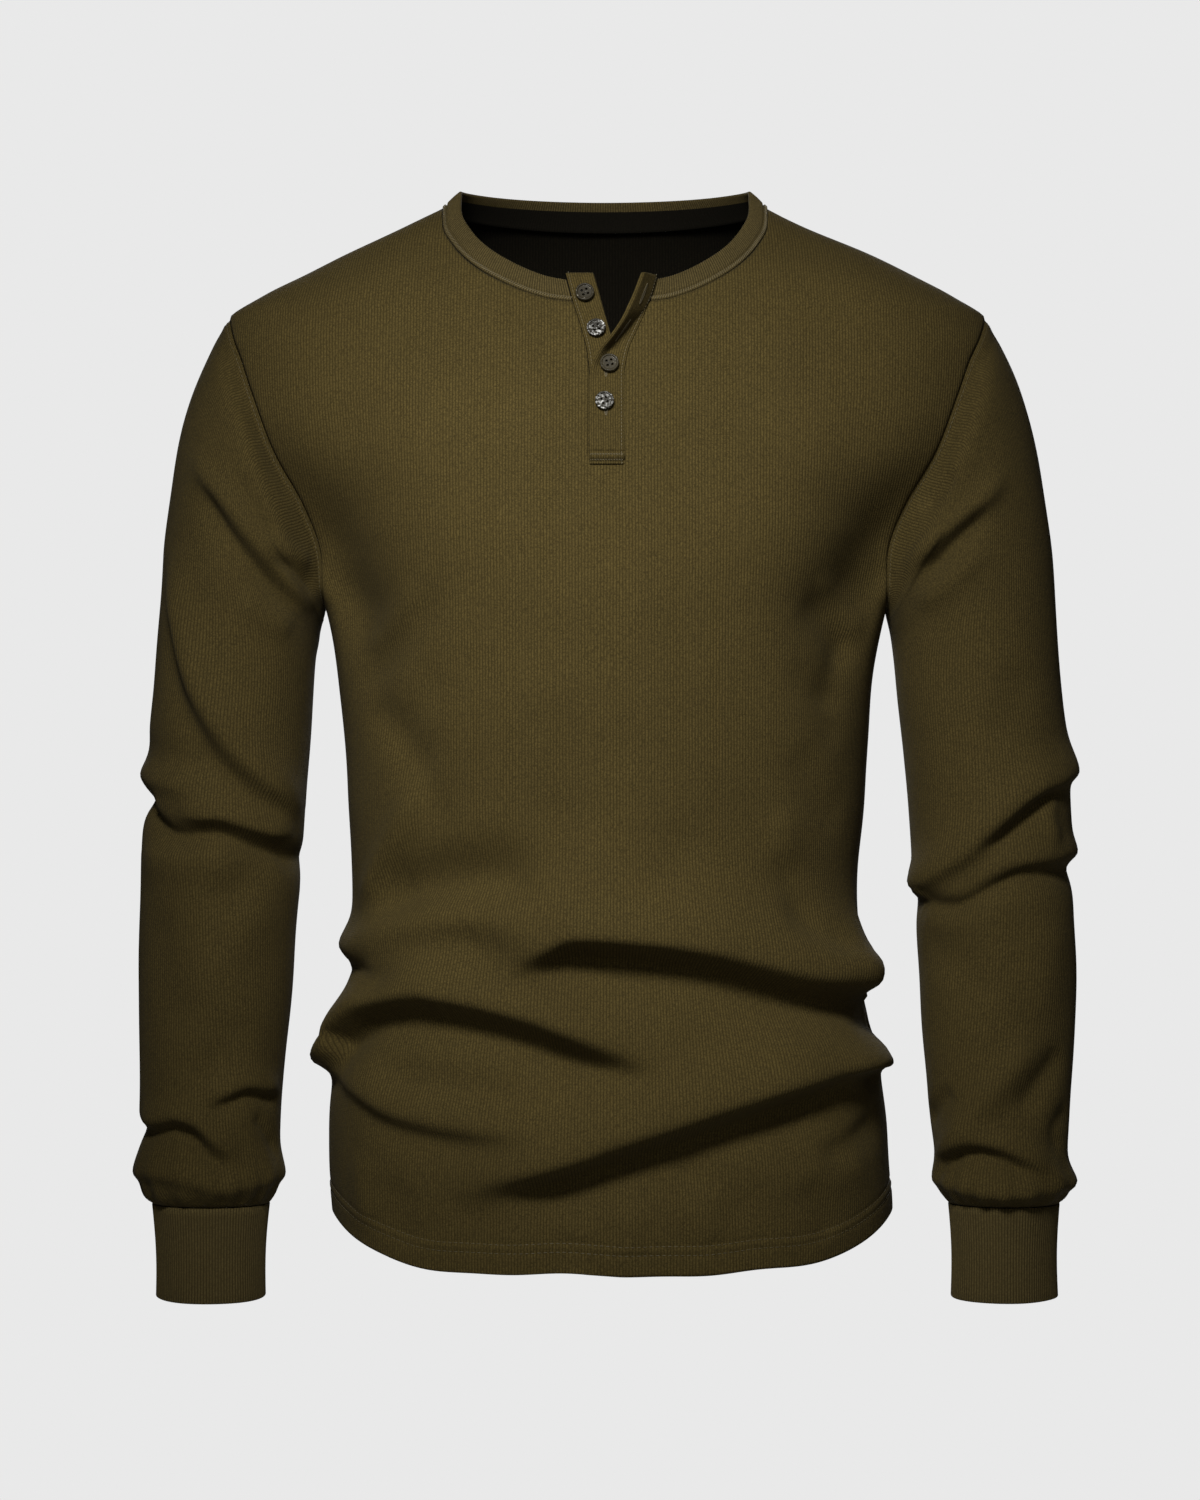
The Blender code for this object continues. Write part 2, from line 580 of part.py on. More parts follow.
def build_cuff(name, side, row):
    """A ribbed cuff, a plain tube below the sleeve's last ring."""
    middle = np.array([side * (row["out"] + row["inn"]) / 2, row["mid"], 0])
    wide, deep = (row["out"] - row["inn"]) / 2, row["deep"]
    turn = np.linspace(0, 2 * math.pi, 2 * ARM_STEPS, endpoint=False)
    ring = np.stack([wide * np.cos(turn), -deep * np.sin(turn), 0 * turn], axis=-1) + middle
    drops = np.linspace(CUFF_TOP_DROP + SEAM_GAP, CUFF_BOTTOM_DROP, 3)
    tube = np.array([ring - UP * drop for drop in drops])
    sheet(name, [tube], "rib", BAND_WALL, tube.mean(axis=1), closed=True)


def build_neckband():
    """The neckband, standing on the neck seam from the button stand round the back to the over placket."""
    slit_top = NECKLINE[-1]["drop"]
    right = front_neck_edge(-1, float(read_table(SLIT, "drop", "stand", slit_top)))[::-1]
    left = front_neck_edge(1, float(read_table(SLIT, "drop", "edge", slit_top)))
    back = back_neck_edge()
    seam = np.vstack([
        torso(right[:, 0], right[:, 1], -1),
        torso(back[1:-1, 0], back[1:-1, 1], 1),
        torso(left[:, 0], left[:, 1], -1),
    ])
    over_seam = float(read_table(SLIT, "drop", "over_seam", slit_top))
    ends = ((0, 1, -1, seam[0, 0] - SEAM_GAP), (-1, -2, 1, over_seam + SEAM_GAP))
    for end, after, _, stop in ends:
        seam[end] += (seam[after] - seam[end]) * (stop - seam[end, 0]) / (seam[after, 0] - seam[end, 0])
    inward = -seam * np.array([1, 1, 0])
    inward /= np.linalg.norm(inward, axis=1, keepdims=True)
    facing = inward[:, 1]
    straight = np.where(facing > 0, BAND_LEAN["front"], BAND_LEAN["back"])
    lean = np.radians(BAND_LEAN["side"] + (straight - BAND_LEAN["side"]) * facing**2)[:, None]
    rise = inward * np.cos(lean) + UP * np.sin(lean)
    for end, _, way, _ in ends:
        reach = np.linalg.norm(seam - seam[end], axis=1)
        rise[:, 0] += way * BAND_SKEW / BAND_HEIGHT * np.exp(-reach / BAND_SKEW_REACH)
    rows = [seam + rise * height for height in np.linspace(SEAM_GAP, BAND_HEIGHT, 3)]
    sheet("neckband", [np.array(rows)], "rib", BAND_WALL, np.array([[0, 0, -10], [0, 0, 10]]))


def build_placket_under():
    """The button stand: a strip that fills the slit, its free edge under the over placket."""
    drop = np.linspace(PLACKET_TOP_DROP, UNDER_FOOT_DROP, PLACKET_STEPS + 1)[:, None]
    seam = read_table(SLIT, "drop", "stand", drop) + SEAM_GAP
    free = read_table(SLIT, "drop", "stand_free", drop)
    side = seam + (free - seam) * np.linspace(0, 1, 5)[None]
    grid = torso(side, drop, -1) + FORWARD * SEAM_GAP / 2
    sheet("placket_under", [grid], "cloth", PLACKET_WALL, TORSO_AXIS)


def over_placket(width, drop):
    """Point of the over placket at a fraction of its width from its seam; its open top curls forward."""
    curl = np.radians(read_table(OVER_CURL, "drop", "degrees", drop))
    steps = np.linspace(0, 1, 25)
    angle = curl * steps**2 * (3 - 2 * steps)
    travel = np.concatenate([[0], np.cumsum(np.cos((angle[1:] + angle[:-1]) / 2))]) * OVER_WIDTH / 24
    rise = np.concatenate([[0], np.cumsum(np.sin((angle[1:] + angle[:-1]) / 2))]) * OVER_WIDTH / 24
    side = read_table(SLIT, "drop", "over_seam", drop) - np.interp(width, steps, travel)
    laid = torso(side, drop, -1) + torso_normals(side, drop, -1) * (LAY_GAP + PLACKET_WALL)
    return laid + FORWARD * np.interp(width, steps, rise)


def build_placket_over():
    """The buttonhole side, laid over the slit and sewn down below, open and curled above."""
    drops = np.linspace(PLACKET_TOP_DROP, OVER_FOOT_DROP, PLACKET_STEPS + 3)
    grid = [[over_placket(width, drop) for width in np.linspace(0, 1, 6)] for drop in drops]
    sheet("placket_over", [np.array(grid)], "cloth", PLACKET_WALL, TORSO_AXIS)


def place_of(row):
    """A button's centre on its placket and the placket's outward direction there."""
    side, drop = row["side"], row["drop"]
    if row["on"] == "under":
        return torso(side, drop, -1) + FORWARD * SEAM_GAP / 2, torso_normals(side, drop, -1)
    width = (float(read_table(SLIT, "drop", "over_seam", drop)) - side) / OVER_WIDTH
    here = over_placket(width, drop)
    out = np.cross(over_placket(width, drop + 1) - here, over_placket(width - 0.05, drop) - here)
    out /= np.linalg.norm(out)
    return here, out * -np.sign(out[1])


def build_button(name, row):
    """A turned button with a raised rim and four holes."""
    profile = [
        (0, 0),
        (BUTTON_RADIUS * 0.75, 0),
        (BUTTON_RADIUS, BUTTON_THICK * 0.45),
        (BUTTON_RADIUS - 0.2, BUTTON_THICK * 0.9),
        (BUTTON_RADIUS - 0.6, BUTTON_THICK),
        (BUTTON_RADIUS - BUTTON_RIM, BUTTON_THICK * 0.92),
        (BUTTON_RADIUS - BUTTON_RIM - 0.6, BUTTON_THICK - BUTTON_DISH),
        (0, BUTTON_THICK - BUTTON_DISH),
    ]
    bm = bmesh.new()
    corners = [bm.verts.new((r * MM, 0, z * MM)) for r, z in reversed(profile)]
    for a, b in zip(corners[:-1], corners[1:]):
        bm.edges.new((a, b))
    mesh = bpy.data.meshes.new(name)
    bm.to_mesh(mesh)
    bm.free()
    thing = bpy.data.objects.new(name, mesh)
    SHIRT.objects.link(thing)
    turned = thing.modifiers.new("turned", "SCREW")
    turned.steps = turned.render_steps = 24
    turned.use_merge_vertices = True
    turned.merge_threshold = 0.00001
    for k in range(4):
        bpy.ops.mesh.primitive_cylinder_add(vertices=8, radius=HOLE_RADIUS * MM, depth=3 * BUTTON_THICK * MM)
        hole = bpy.context.object
        hole.name = f"{name}_hole_{k}"
        hole.parent = thing
        angle = math.pi / 4 + k * math.pi / 2
        hole.location = (HOLE_OUT * MM * math.cos(angle), HOLE_OUT * MM * math.sin(angle), BUTTON_THICK / 2 * MM)
        hole.hide_render = True
        hole.display_type = "WIRE"
        for home in list(hole.users_collection):
            home.objects.unlink(hole)
        CUTTERS.objects.link(hole)
        cut = thing.modifiers.new(f"hole_{k}", "BOOLEAN")
        cut.operation = "DIFFERENCE"
        cut.object = hole
    mesh.materials.append(MATERIALS["button"])
    centre, out = place_of(row)
    thing.location = Vector(centre * MM) + Vector(out) * BUTTON_LIFT * MM
    thing.rotation_mode = "QUATERNION"
    thing.rotation_quaternion = Vector(out).to_track_quat("Z", "X")


def new_material(name, colour, roughness):
    """A plain finish."""
    made = bpy.data.materials.new(name)
    made.use_nodes = True
    shader = made.node_tree.nodes["Principled BSDF"]
    shader.inputs["Base Color"].default_value = colour
    shader.inputs["Roughness"].default_value = roughness
    made.diffuse_color = colour
    return made


def new_collection(name):
    made = bpy.data.collections.new(name)
    bpy.context.scene.collection.children.link(made)
    return made


for old in list(bpy.data.objects):
    bpy.data.objects.remove(old, do_unlink=True)

SHIRT = new_collection("henley_shirt")
CUTTERS = new_collection("cutters")
MATERIALS = {name: new_material(name, *finish) for name, finish in FINISHES.items()}
BODY_CLOUD = torso_cloud()
TORSO_AXIS = np.array([[0, 0, -drop] for drop in range(0, 700, 50)], float)

build_front()
build_back()
build_sleeve("right_sleeve", -1, RIGHT_SLEEVE, RIGHT_SLEEVE_FOLDS)
build_sleeve("left_sleeve", 1, LEFT_SLEEVE, LEFT_SLEEVE_FOLDS)
build_cuff("right_cuff", -1, RIGHT_SLEEVE[-1])
build_cuff("left_cuff", 1, LEFT_SLEEVE[-1])
build_neckband()
build_placket_under()
build_placket_over()
for number, button in enumerate(BUTTONS, 1):
    build_button(f"button_{number}", button)
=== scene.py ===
import math

import bmesh
import bpy
import numpy as np
from mathutils import Matrix, Vector


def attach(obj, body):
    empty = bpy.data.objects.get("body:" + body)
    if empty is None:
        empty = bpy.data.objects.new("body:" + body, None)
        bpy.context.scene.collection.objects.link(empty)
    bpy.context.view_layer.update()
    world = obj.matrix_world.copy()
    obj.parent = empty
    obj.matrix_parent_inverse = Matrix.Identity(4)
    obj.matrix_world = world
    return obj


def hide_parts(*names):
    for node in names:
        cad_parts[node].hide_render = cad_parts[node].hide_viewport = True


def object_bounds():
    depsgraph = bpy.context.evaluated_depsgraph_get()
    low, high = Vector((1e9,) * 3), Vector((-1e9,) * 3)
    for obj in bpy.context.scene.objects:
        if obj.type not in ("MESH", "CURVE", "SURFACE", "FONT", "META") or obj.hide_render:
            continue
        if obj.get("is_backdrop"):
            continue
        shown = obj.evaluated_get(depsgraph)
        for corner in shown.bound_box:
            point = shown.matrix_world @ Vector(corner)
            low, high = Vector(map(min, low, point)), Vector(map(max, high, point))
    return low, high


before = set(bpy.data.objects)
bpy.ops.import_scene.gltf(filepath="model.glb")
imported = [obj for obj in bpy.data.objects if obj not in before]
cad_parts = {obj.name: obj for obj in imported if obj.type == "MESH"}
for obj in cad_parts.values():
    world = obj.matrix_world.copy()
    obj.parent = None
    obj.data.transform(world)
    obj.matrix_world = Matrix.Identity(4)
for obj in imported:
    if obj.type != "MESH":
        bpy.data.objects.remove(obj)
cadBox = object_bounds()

print("henley shirt: building the cloth")

mm = 0.001
up = np.array([0.0, 0.0, 1.0])
forward = np.array([0.0, -1.0, 0.0])

# the worn form, in millimetres; "drop" is the distance below the neck's base

form = dict(
    shoulderDrop=60,
    armpitDrop=248,
    neckPointDrop=-11,
    backNeckDrop=-7,
    sideHemDrop=628,
    frontHemDrop=657,
    backHemDrop=672,
    waistDrop=430,
    slitFootDrop=156,
    seamGap=0.35,
    wall=1.5,
)

# half widths on the wearer's right and left, depth in front and behind, squareness of the section
torsoTable = [
    dict(drop=-11, right=104, left=104, front=22, back=66, square=2.1),
    dict(drop=0, right=127, left=127, front=40, back=76, square=2.1),
    dict(drop=18, right=166, left=168, front=54, back=86, square=2.1),
    dict(drop=34, right=195, left=199, front=69, back=92, square=2.1),
    dict(drop=46, right=219, left=223, front=76, back=95, square=2.1),
    dict(drop=60, right=241, left=244, front=81, back=98, square=2.1),
    dict(drop=80, right=248, left=250, front=89, back=102, square=2.15),
    dict(drop=105, right=247, left=249, front=97, back=106, square=2.12),
    dict(drop=140, right=238, left=240, front=108, back=111, square=2.08),
    dict(drop=180, right=221, left=223, front=115, back=114, square=2.05),
    dict(drop=215, right=199, left=201, front=119, back=114, square=2.05),
    dict(drop=248, right=178, left=179, front=121, back=112, square=2.05),
    dict(drop=300, right=170, left=170, front=120, back=107, square=2.05),
    dict(drop=360, right=164, left=166, front=117, back=101, square=2.1),
    dict(drop=430, right=161, left=161, front=115, back=99, square=2.15),
    dict(drop=480, right=164, left=166, front=119, back=103, square=2.3),
    dict(drop=530, right=172, left=174, front=125, back=110, square=2.3),
    dict(drop=580, right=176, left=180, front=129, back=116, square=2.3),
    dict(drop=630, right=174, left=183, front=130, back=118, square=2.3),
    dict(drop=690, right=168, left=178, front=129, back=118, square=2.3),
]

armholeTable = [
    dict(drop=60, front=243, back=243),
    dict(drop=77, front=237, back=241),
    dict(drop=90, front=231, back=237),
    dict(drop=107, front=225, back=232),
    dict(drop=144, front=211, back=220),
    dict(drop=183, front=192, back=203),
    dict(drop=219, front=181, back=188),
    dict(drop=248, front=178, back=178),
]

necklineTable = [
    dict(out=104, drop=-11),
    dict(out=102.5, drop=5),
    dict(out=95.5, drop=18),
    dict(out=83.5, drop=31),
    dict(out=65, drop=43),
    dict(out=47, drop=51),
    dict(out=33, drop=55),
    dict(out=20, drop=56.5),
]

# slit edges: the button stand's seam and free edge, the buttonhole side's seam and the panel's edge
slitTable = [
    dict(drop=36, stand=-25.5, standFree=-7.8, overSeam=34.5, edge=32),
    dict(drop=56, stand=-20.5, standFree=-2.5, overSeam=28.5, edge=26),
    dict(drop=74, stand=-15, standFree=2.5, overSeam=20.5, edge=18),
    dict(drop=90, stand=-11.3, standFree=6.3, overSeam=14, edge=11.6),
    dict(drop=105, stand=-9.9, standFree=8.4, overSeam=11.7, edge=9.2),
    dict(drop=160, stand=-9.9, standFree=8.4, overSeam=11.7, edge=9.2),
]


def slopesOf(x, y):
    step = np.diff(x)
    rise = np.diff(y) / step
    slope = np.zeros(len(x))
    slope[0] = rise[0]
    slope[-1] = rise[-1]
    for i in range(1, len(x) - 1):
        if rise[i - 1] * rise[i] > 0:
            slope[i] = 2 * rise[i - 1] * rise[i] / (rise[i - 1] + rise[i])
    return slope


def readTable(table, key, column, at):  # smooth, and never past the table's own values
    x = np.array([row[key] for row in table], float)
    y = np.array([row[column] for row in table], float)
    slope = slopesOf(x, y)
    at = np.clip(np.asarray(at, float), x[0], x[-1])
    i = np.clip(np.searchsorted(x, at, side="right") - 1, 0, len(x) - 2)
    step = x[i + 1] - x[i]
    t = (at - x[i]) / step
    return (
        y[i] * (1 + 2 * t) * (1 - t) ** 2
        + slope[i] * step * t * (1 - t) ** 2
        + y[i + 1] * t * t * (3 - 2 * t)
        + slope[i + 1] * step * t * t * (t - 1)
    )


def smoothStep(x):
    x = np.clip(x, 0, 1)
    return x * x * (3 - 2 * x)


def halfWidth(drop, side):
    left = readTable(torsoTable, "drop", "left", drop)
    right = readTable(torsoTable, "drop", "right", drop)
    return np.where(np.asarray(side) < 0, right, left)


def torso(side, drop, face):  # face is -1 in front and 1 behind
    drop = np.asarray(drop, float) + 0 * np.asarray(side, float)
    deep = readTable(torsoTable, "drop", "front" if face < 0 else "back", drop)
    square = readTable(torsoTable, "drop", "square", drop)
    ratio = np.clip(np.abs(side) / halfWidth(drop, side), 0, 1)
    out = face * deep * (1 - ratio**square) ** (1 / square)
    return np.stack([side + 0 * drop, out, -drop], axis=-1)


def torsoNormals(side, drop, face):
    turn = np.arcsin(np.clip(side / halfWidth(drop, side), -1, 1))
    turn = np.clip(turn, -1.52, 1.52)

    def at(angle, level):
        return torso(np.sin(angle) * halfWidth(level, side), level, face)

    across = at(turn + 0.02, drop) - at(turn - 0.02, drop)
    down = at(turn, drop + 0.8) - at(turn, drop - 0.8)
    normal = np.cross(across, down) * face
    return normal / np.linalg.norm(normal, axis=-1, keepdims=True)


girthDrops = np.linspace(-11, 690, 120)
girthTurns = np.linspace(0, math.pi / 2, 90)


def girthTable(side, face):  # length of cloth from the centre line, by height and by turn
    turn, drop = np.meshgrid(girthTurns, girthDrops)
    points = torso(side * np.sin(turn) * halfWidth(drop, side + 0 * drop), drop, face)
    steps = np.linalg.norm(np.diff(points, axis=1), axis=-1)
    return np.concatenate([np.zeros((len(girthDrops), 1)), np.cumsum(steps, axis=1)], axis=1)


girths = {(side, face): girthTable(side, face) for side in (-1, 1) for face in (-1, 1)}


def girthAt(side, drop, face):
    ratio = np.clip(np.abs(side) / halfWidth(drop, side), 0, 1)
    turn = np.arcsin(ratio) / (math.pi / 2) * (len(girthTurns) - 1)
    level = np.clip((drop - girthDrops[0]) / (girthDrops[1] - girthDrops[0]), 0, len(girthDrops) - 1.001)
    i, j = np.minimum(turn.astype(int), len(girthTurns) - 2), level.astype(int)
    s, t = turn - i, level - j
    found = 0
    for sign in (-1, 1):
        table = girths[(sign, face)]
        value = (table[j, i] * (1 - s) + table[j, i + 1] * s) * (1 - t)
        value = value + (table[j + 1, i] * (1 - s) + table[j + 1, i + 1] * s) * t
        found = found + np.where(np.sign(side) == sign, sign * value, 0)
    return found


def smoothRows(rows, count):  # more rows on curves through the ones given
    rows = np.asarray(rows, float)
    ends = np.concatenate([2 * rows[:1] - rows[1:2], rows, 2 * rows[-1:] - rows[-2:-1]])
    found = []
    for at in np.linspace(0, len(rows) - 1, count):
        i = min(int(at), len(rows) - 2) + 1
        t = at - i + 1
        a, b, c, d = ends[i - 1], ends[i], ends[i + 1], ends[i + 2]
        found.append(
            0.5 * (2 * b + (c - a) * t + (2 * a - 5 * b + 4 * c - d) * t**2 + (3 * b - a - 3 * c + d) * t**3)
        )
    return np.array(found)


def foldPath(row, cloud):  # a point without a depth lies on the side that faces forward
    points = [(p[0], -60.0, p[1], 0.0) if len(p) == 2 else (*p, 1.0) for p in row["path"]]
    path = smoothRows(points, 9 * len(points))
    laid = []
    for side, back, drop, known in path:
        size = (cloud[:, 0] - side) ** 2 + (cloud[:, 2] + drop) ** 2
        size = size + np.clip(known, 0, 1) * (cloud[:, 1] - back) ** 2
        size = size + (1 - np.clip(known, 0, 1)) * 0.004 * (cloud[:, 1] + 130) ** 2
        near = np.argpartition(size, 5)[:5]
        weight = 1 / (size[near] - size[near].min() + 8)
        laid.append((cloud[near] * weight[:, None]).sum(axis=0) / weight.sum())
    path = np.array(laid)
    for _ in range(4):
        path[1:-1] = (path[:-2] + 2 * path[1:-1] + path[2:]) / 4
    return path


def raiseFolds(points, normals, folds, cloud):
    # a fold is a line on the cloth: a height (below zero for a crease), the widths of its two flanks,
    # how far its crest hangs, and how it starts and ends
    flat, out = points.reshape(-1, 3), normals.reshape(-1, 3)
    moved = flat.copy()
    for row in folds:
        path = foldPath(row, cloud)
        reach = 2.3 * max(row["above"], row["below"])
        near = ((flat > path.min(axis=0) - reach) & (flat < path.max(axis=0) + reach)).all(axis=1)
        if not near.any():
            continue
        spots = flat[near]
        runs = np.diff(path, axis=0)
        long = np.linalg.norm(runs, axis=1) > 0.5
        starts, runs = path[:-1][long], runs[long]
        lengths = np.linalg.norm(runs, axis=1)
        along = np.cumsum(lengths) - lengths
        best = np.full(len(spots), 1e9)
        away = np.zeros_like(spots)
        place = np.zeros(len(spots))
        for start, run, length, begin in zip(starts, runs, lengths, along):
            offset = spots - start
            t = np.clip(offset @ run / length**2, 0, 1)
            gap = offset - t[:, None] * run
            size = (gap**2).sum(axis=1)
            closer = size < best
            best = np.where(closer, size, best)
            away[closer] = gap[closer]
            place = np.where(closer, begin + t * length, place)
        place = np.clip(place / lengths.sum(), 0, 1)
        width = np.where(away[:, 2] >= 0, row["above"], row["below"])
        fade = row.get("fade", 0.3)
        taper = smoothStep(place / fade + row.get("start", 0.15))
        taper = taper * smoothStep((1 - place) / fade + row.get("end", 0.15))
        crest = np.exp(-((np.sqrt(best) / width) ** row.get("power", 2.0))) * taper
        moved[near] += out[near] * (crest * row["height"])[:, None]
        moved[near, 2] -= crest * row.get("hang", 0)
    return moved.reshape(points.shape)


def unevenness(points, size, seed, waves=14, shortest=45, longest=150):  # soft, random, same each time
    rng = np.random.default_rng(seed)
    found = np.zeros(points.shape[:-1])
    for _ in range(waves):
        direction = rng.normal(size=3)
        direction /= np.linalg.norm(direction)
        length = rng.uniform(shortest, longest)
        bend = rng.normal(size=3) * 0.004
        phase = points @ direction / length + np.sin(points @ bend) + rng.uniform(0, 1)
        found += np.sin(2 * math.pi * phase) * length / longest
    return found / math.sqrt(waves) * size


def torsoCloud():
    drop = np.linspace(form["shoulderDrop"], form["backHemDrop"], 130)[:, None]
    turn = np.linspace(-1.57, 1.57, 110)[None]
    side = np.sin(turn) * halfWidth(drop + 0 * turn, turn + 0 * drop)
    return np.vstack([torso(side, drop, face).reshape(-1, 3) for face in (-1, 1)])


bodyCloud = torsoCloud()


mergeWithin = 0.004  # millimetres; points this close are one


def newMesh(name, points, faces, uvs=None, inside=None):  # faces turn away from the points inside
    mesh = bpy.data.meshes.new(name)
    mesh.from_pydata([tuple(p * mm) for p in points], [], faces)
    if uvs is not None:
        layer = mesh.uv_layers.new(name="weave")
        layer.data.foreach_set("uv", (np.asarray(uvs, float) * mm).reshape(-1))
    bm = bmesh.new()
    bm.from_mesh(mesh)
    bmesh.ops.remove_doubles(bm, verts=bm.verts, dist=mergeWithin * mm)
    bmesh.ops.recalc_face_normals(bm, faces=bm.faces)
    if inside is not None:
        centres = np.array([face.calc_center_median() for face in bm.faces])
        normals = np.array([face.normal for face in bm.faces])
        near = np.argmin(((centres[:, None] - inside[None] * mm) ** 2).sum(axis=2), axis=1)
        if ((centres - inside[near] * mm) * normals).sum() < 0:
            bmesh.ops.reverse_faces(bm, faces=bm.faces)
    bm.to_mesh(mesh)
    bm.free()
    mesh.shade_smooth()
    thing = bpy.data.objects.new(name, mesh)
    bpy.context.scene.collection.objects.link(thing)
    return thing


def gridFaces(rows, columns, start=0, closed=False):
    found = []
    for j in range(rows - 1):
        for i in range(columns if closed else columns - 1):
            a, b, after = start + j * columns, start + (j + 1) * columns, (i + 1) % columns
            found.append((a + i, b + i, b + after, a + after))
    return found


def gridUvs(uv):  # a closed grid has one more column here than in its points
    a, b = uv[:-1, :-1], uv[1:, :-1]
    c, d = uv[1:, 1:], uv[:-1, 1:]
    return np.stack([a, b, c, d], axis=2).reshape(-1, 2)


def addWall(thing, wall, insideShade=None):  # the inner face may have its own material: the knit painted dark as shade
    layer = thing.modifiers.new("wall", "SOLIDIFY")
    layer.thickness = wall * mm
    layer.offset = -1
    if insideShade:
        thing.data.materials.append(insideShade)
        layer.material_offset = 1


def applied(thing):  # the piece with its modifiers made plain mesh
    graph = bpy.context.evaluated_depsgraph_get()
    graph.update()
    final = thing.evaluated_get(graph)
    mesh = bpy.data.meshes.new_from_object(final, preserve_all_data_layers=True, depsgraph=graph)
    thing.modifiers.clear()
    thing.data = mesh
    return thing


def paint(thing, material):
    if thing.data.materials:
        thing.data.materials.clear()
    thing.data.materials.append(material)
    return thing


torsoAxis = np.array([[0, 0, -drop] for drop in range(0, 700, 50)], float)


class Tree:  # short names for the nodes of one material
    def __init__(self, name):
        self.material = bpy.data.materials.new(name)
        self.material.use_nodes = True
        self.tree = self.material.node_tree
        self.shader = self.tree.nodes["Principled BSDF"]

    def node(self, kind, inputs=None, **settings):
        made = self.tree.nodes.new("ShaderNode" + kind)
        for key, value in settings.items():
            setattr(made, key, value)
        for key, value in (inputs or {}).items():
            self.put(made.inputs[key], value)
        return made

    def put(self, socket, value):
        if isinstance(value, bpy.types.NodeSocket):
            self.tree.links.new(value, socket)
        else:
            socket.default_value = value

    def math(self, operation, a, b=0.0):
        return self.node("Math", {0: a, 1: b}, operation=operation).outputs[0]

    def mix(self, factor, a, b, blend="MIX"):
        made = self.node("Mix", data_type="RGBA", blend_type=blend)
        self.put(made.inputs[0], factor)
        self.put(made.inputs[6], a)
        self.put(made.inputs[7], b)
        return made.outputs[2]

    def noise(self, vector, scale, detail=3.0, roughness=0.5):
        made = self.node("TexNoise", {"Scale": scale, "Detail": detail, "Roughness": roughness})
        self.put(made.inputs["Vector"], vector)
        return made.outputs["Fac"]

    def span(self, value, low, high, toLow=0.0, toHigh=1.0):
        ends = {"From Min": low, "From Max": high, "To Min": toLow, "To Max": toHigh}
        return self.node("MapRange", {"Value": value, **ends}).outputs["Result"]


def knit(name, colour, pitch, depth, valleyShade, speckle, sheen=0.02, roughness=0.9, course=1.15, stray=0.9):
    # ribs stand along u; each rib is a column of small V-shaped loops; the yarn is a heather
    t = Tree(name)
    uv = t.node("UVMap", uv_map="weave").outputs["UV"]
    split = t.node("SeparateXYZ", {0: uv})
    u, v = split.outputs["X"], split.outputs["Y"]
    place = t.node("TexCoord").outputs["Object"]
    wander = t.noise(place, 9.0, 2.0)
    across = t.math("ADD", t.math("MULTIPLY", u, 1 / (pitch * mm)), t.math("MULTIPLY", wander, stray))
    wave = t.math("ABSOLUTE", t.math("SINE", t.math("MULTIPLY", across, math.pi)))
    rib = t.math("POWER", wave, 0.7)
    column = t.math("ABSOLUTE", t.math("SUBTRACT", t.math("FRACT", across), 0.5))
    climb = t.math("ADD", t.math("MULTIPLY", v, 1 / (course * mm)), column)
    loops = t.math("SINE", t.math("MULTIPLY", climb, 2 * math.pi))
    fibre = t.noise(uv, 2600.0, 3.0, 0.65)
    blotch = t.noise(place, 950.0, 3.0, 0.7)
    broad = t.noise(place, 16.0, 3.0, 0.55)
    height = t.math("ADD", t.math("MULTIPLY", rib, 1.0), t.math("MULTIPLY", loops, 0.12))
    height = t.math("ADD", height, t.math("MULTIPLY", fibre, 0.5))
    # deep is the colour of the rib valleys, painted darker as shade; the fine fibre flecks below also lean
    # towards it
    deep = tuple(c * valleyShade for c in colour) + (1,)
    light = tuple(min(1, c * (1 + speckle)) for c in colour) + (1,)
    dark = tuple(c * (1 - speckle) for c in colour) + (1,)
    yarn = t.mix(t.span(blotch, 0.36, 0.64), dark, light)
    yarn = t.mix(t.span(fibre, 0.3, 0.7, 0.0, 0.35), yarn, deep)
    # the rib valleys get the painted shade colour, the crests the yarn's own colour
    shade = t.mix(t.span(rib, 0.15, 0.85), deep, yarn)
    tone = t.span(broad, 0.3, 0.7, 0.94, 1.06)
    toneColour = t.node("CombineColor", {0: tone, 1: tone, 2: tone}).outputs[0]
    t.put(t.shader.inputs["Base Color"], t.mix(1.0, shade, toneColour, "MULTIPLY"))
    bump = t.node("Bump", {"Height": height, "Distance": depth * mm, "Strength": 1.0})
    t.put(t.shader.inputs["Normal"], bump.outputs["Normal"])
    t.put(t.shader.inputs["Roughness"], roughness)
    t.put(t.shader.inputs["Specular IOR Level"], 0.1)
    t.put(t.shader.inputs["Sheen Weight"], sheen)
    t.put(t.shader.inputs["Sheen Roughness"], 0.45)
    t.put(t.shader.inputs["Sheen Tint"], (0.8, 0.75, 0.55, 1))
    t.material.diffuse_color = colour + (1,)
    return t.material


def thread(name, colour, roughness=0.5):
    t = Tree(name)
    place = t.node("TexCoord").outputs["Object"]
    twist = t.noise(place, 3200.0, 2.0)
    pale = tuple(min(1, c * 1.35) for c in colour) + (1,)
    dark = tuple(c * 0.65 for c in colour) + (1,)
    t.put(t.shader.inputs["Base Color"], t.mix(t.span(twist, 0.35, 0.65), dark, pale))
    bump = t.node("Bump", {"Height": twist, "Distance": 0.06 * mm})
    t.put(t.shader.inputs["Normal"], bump.outputs["Normal"])
    t.put(t.shader.inputs["Roughness"], roughness)
    t.put(t.shader.inputs["Sheen Weight"], 0.1)
    return t.material


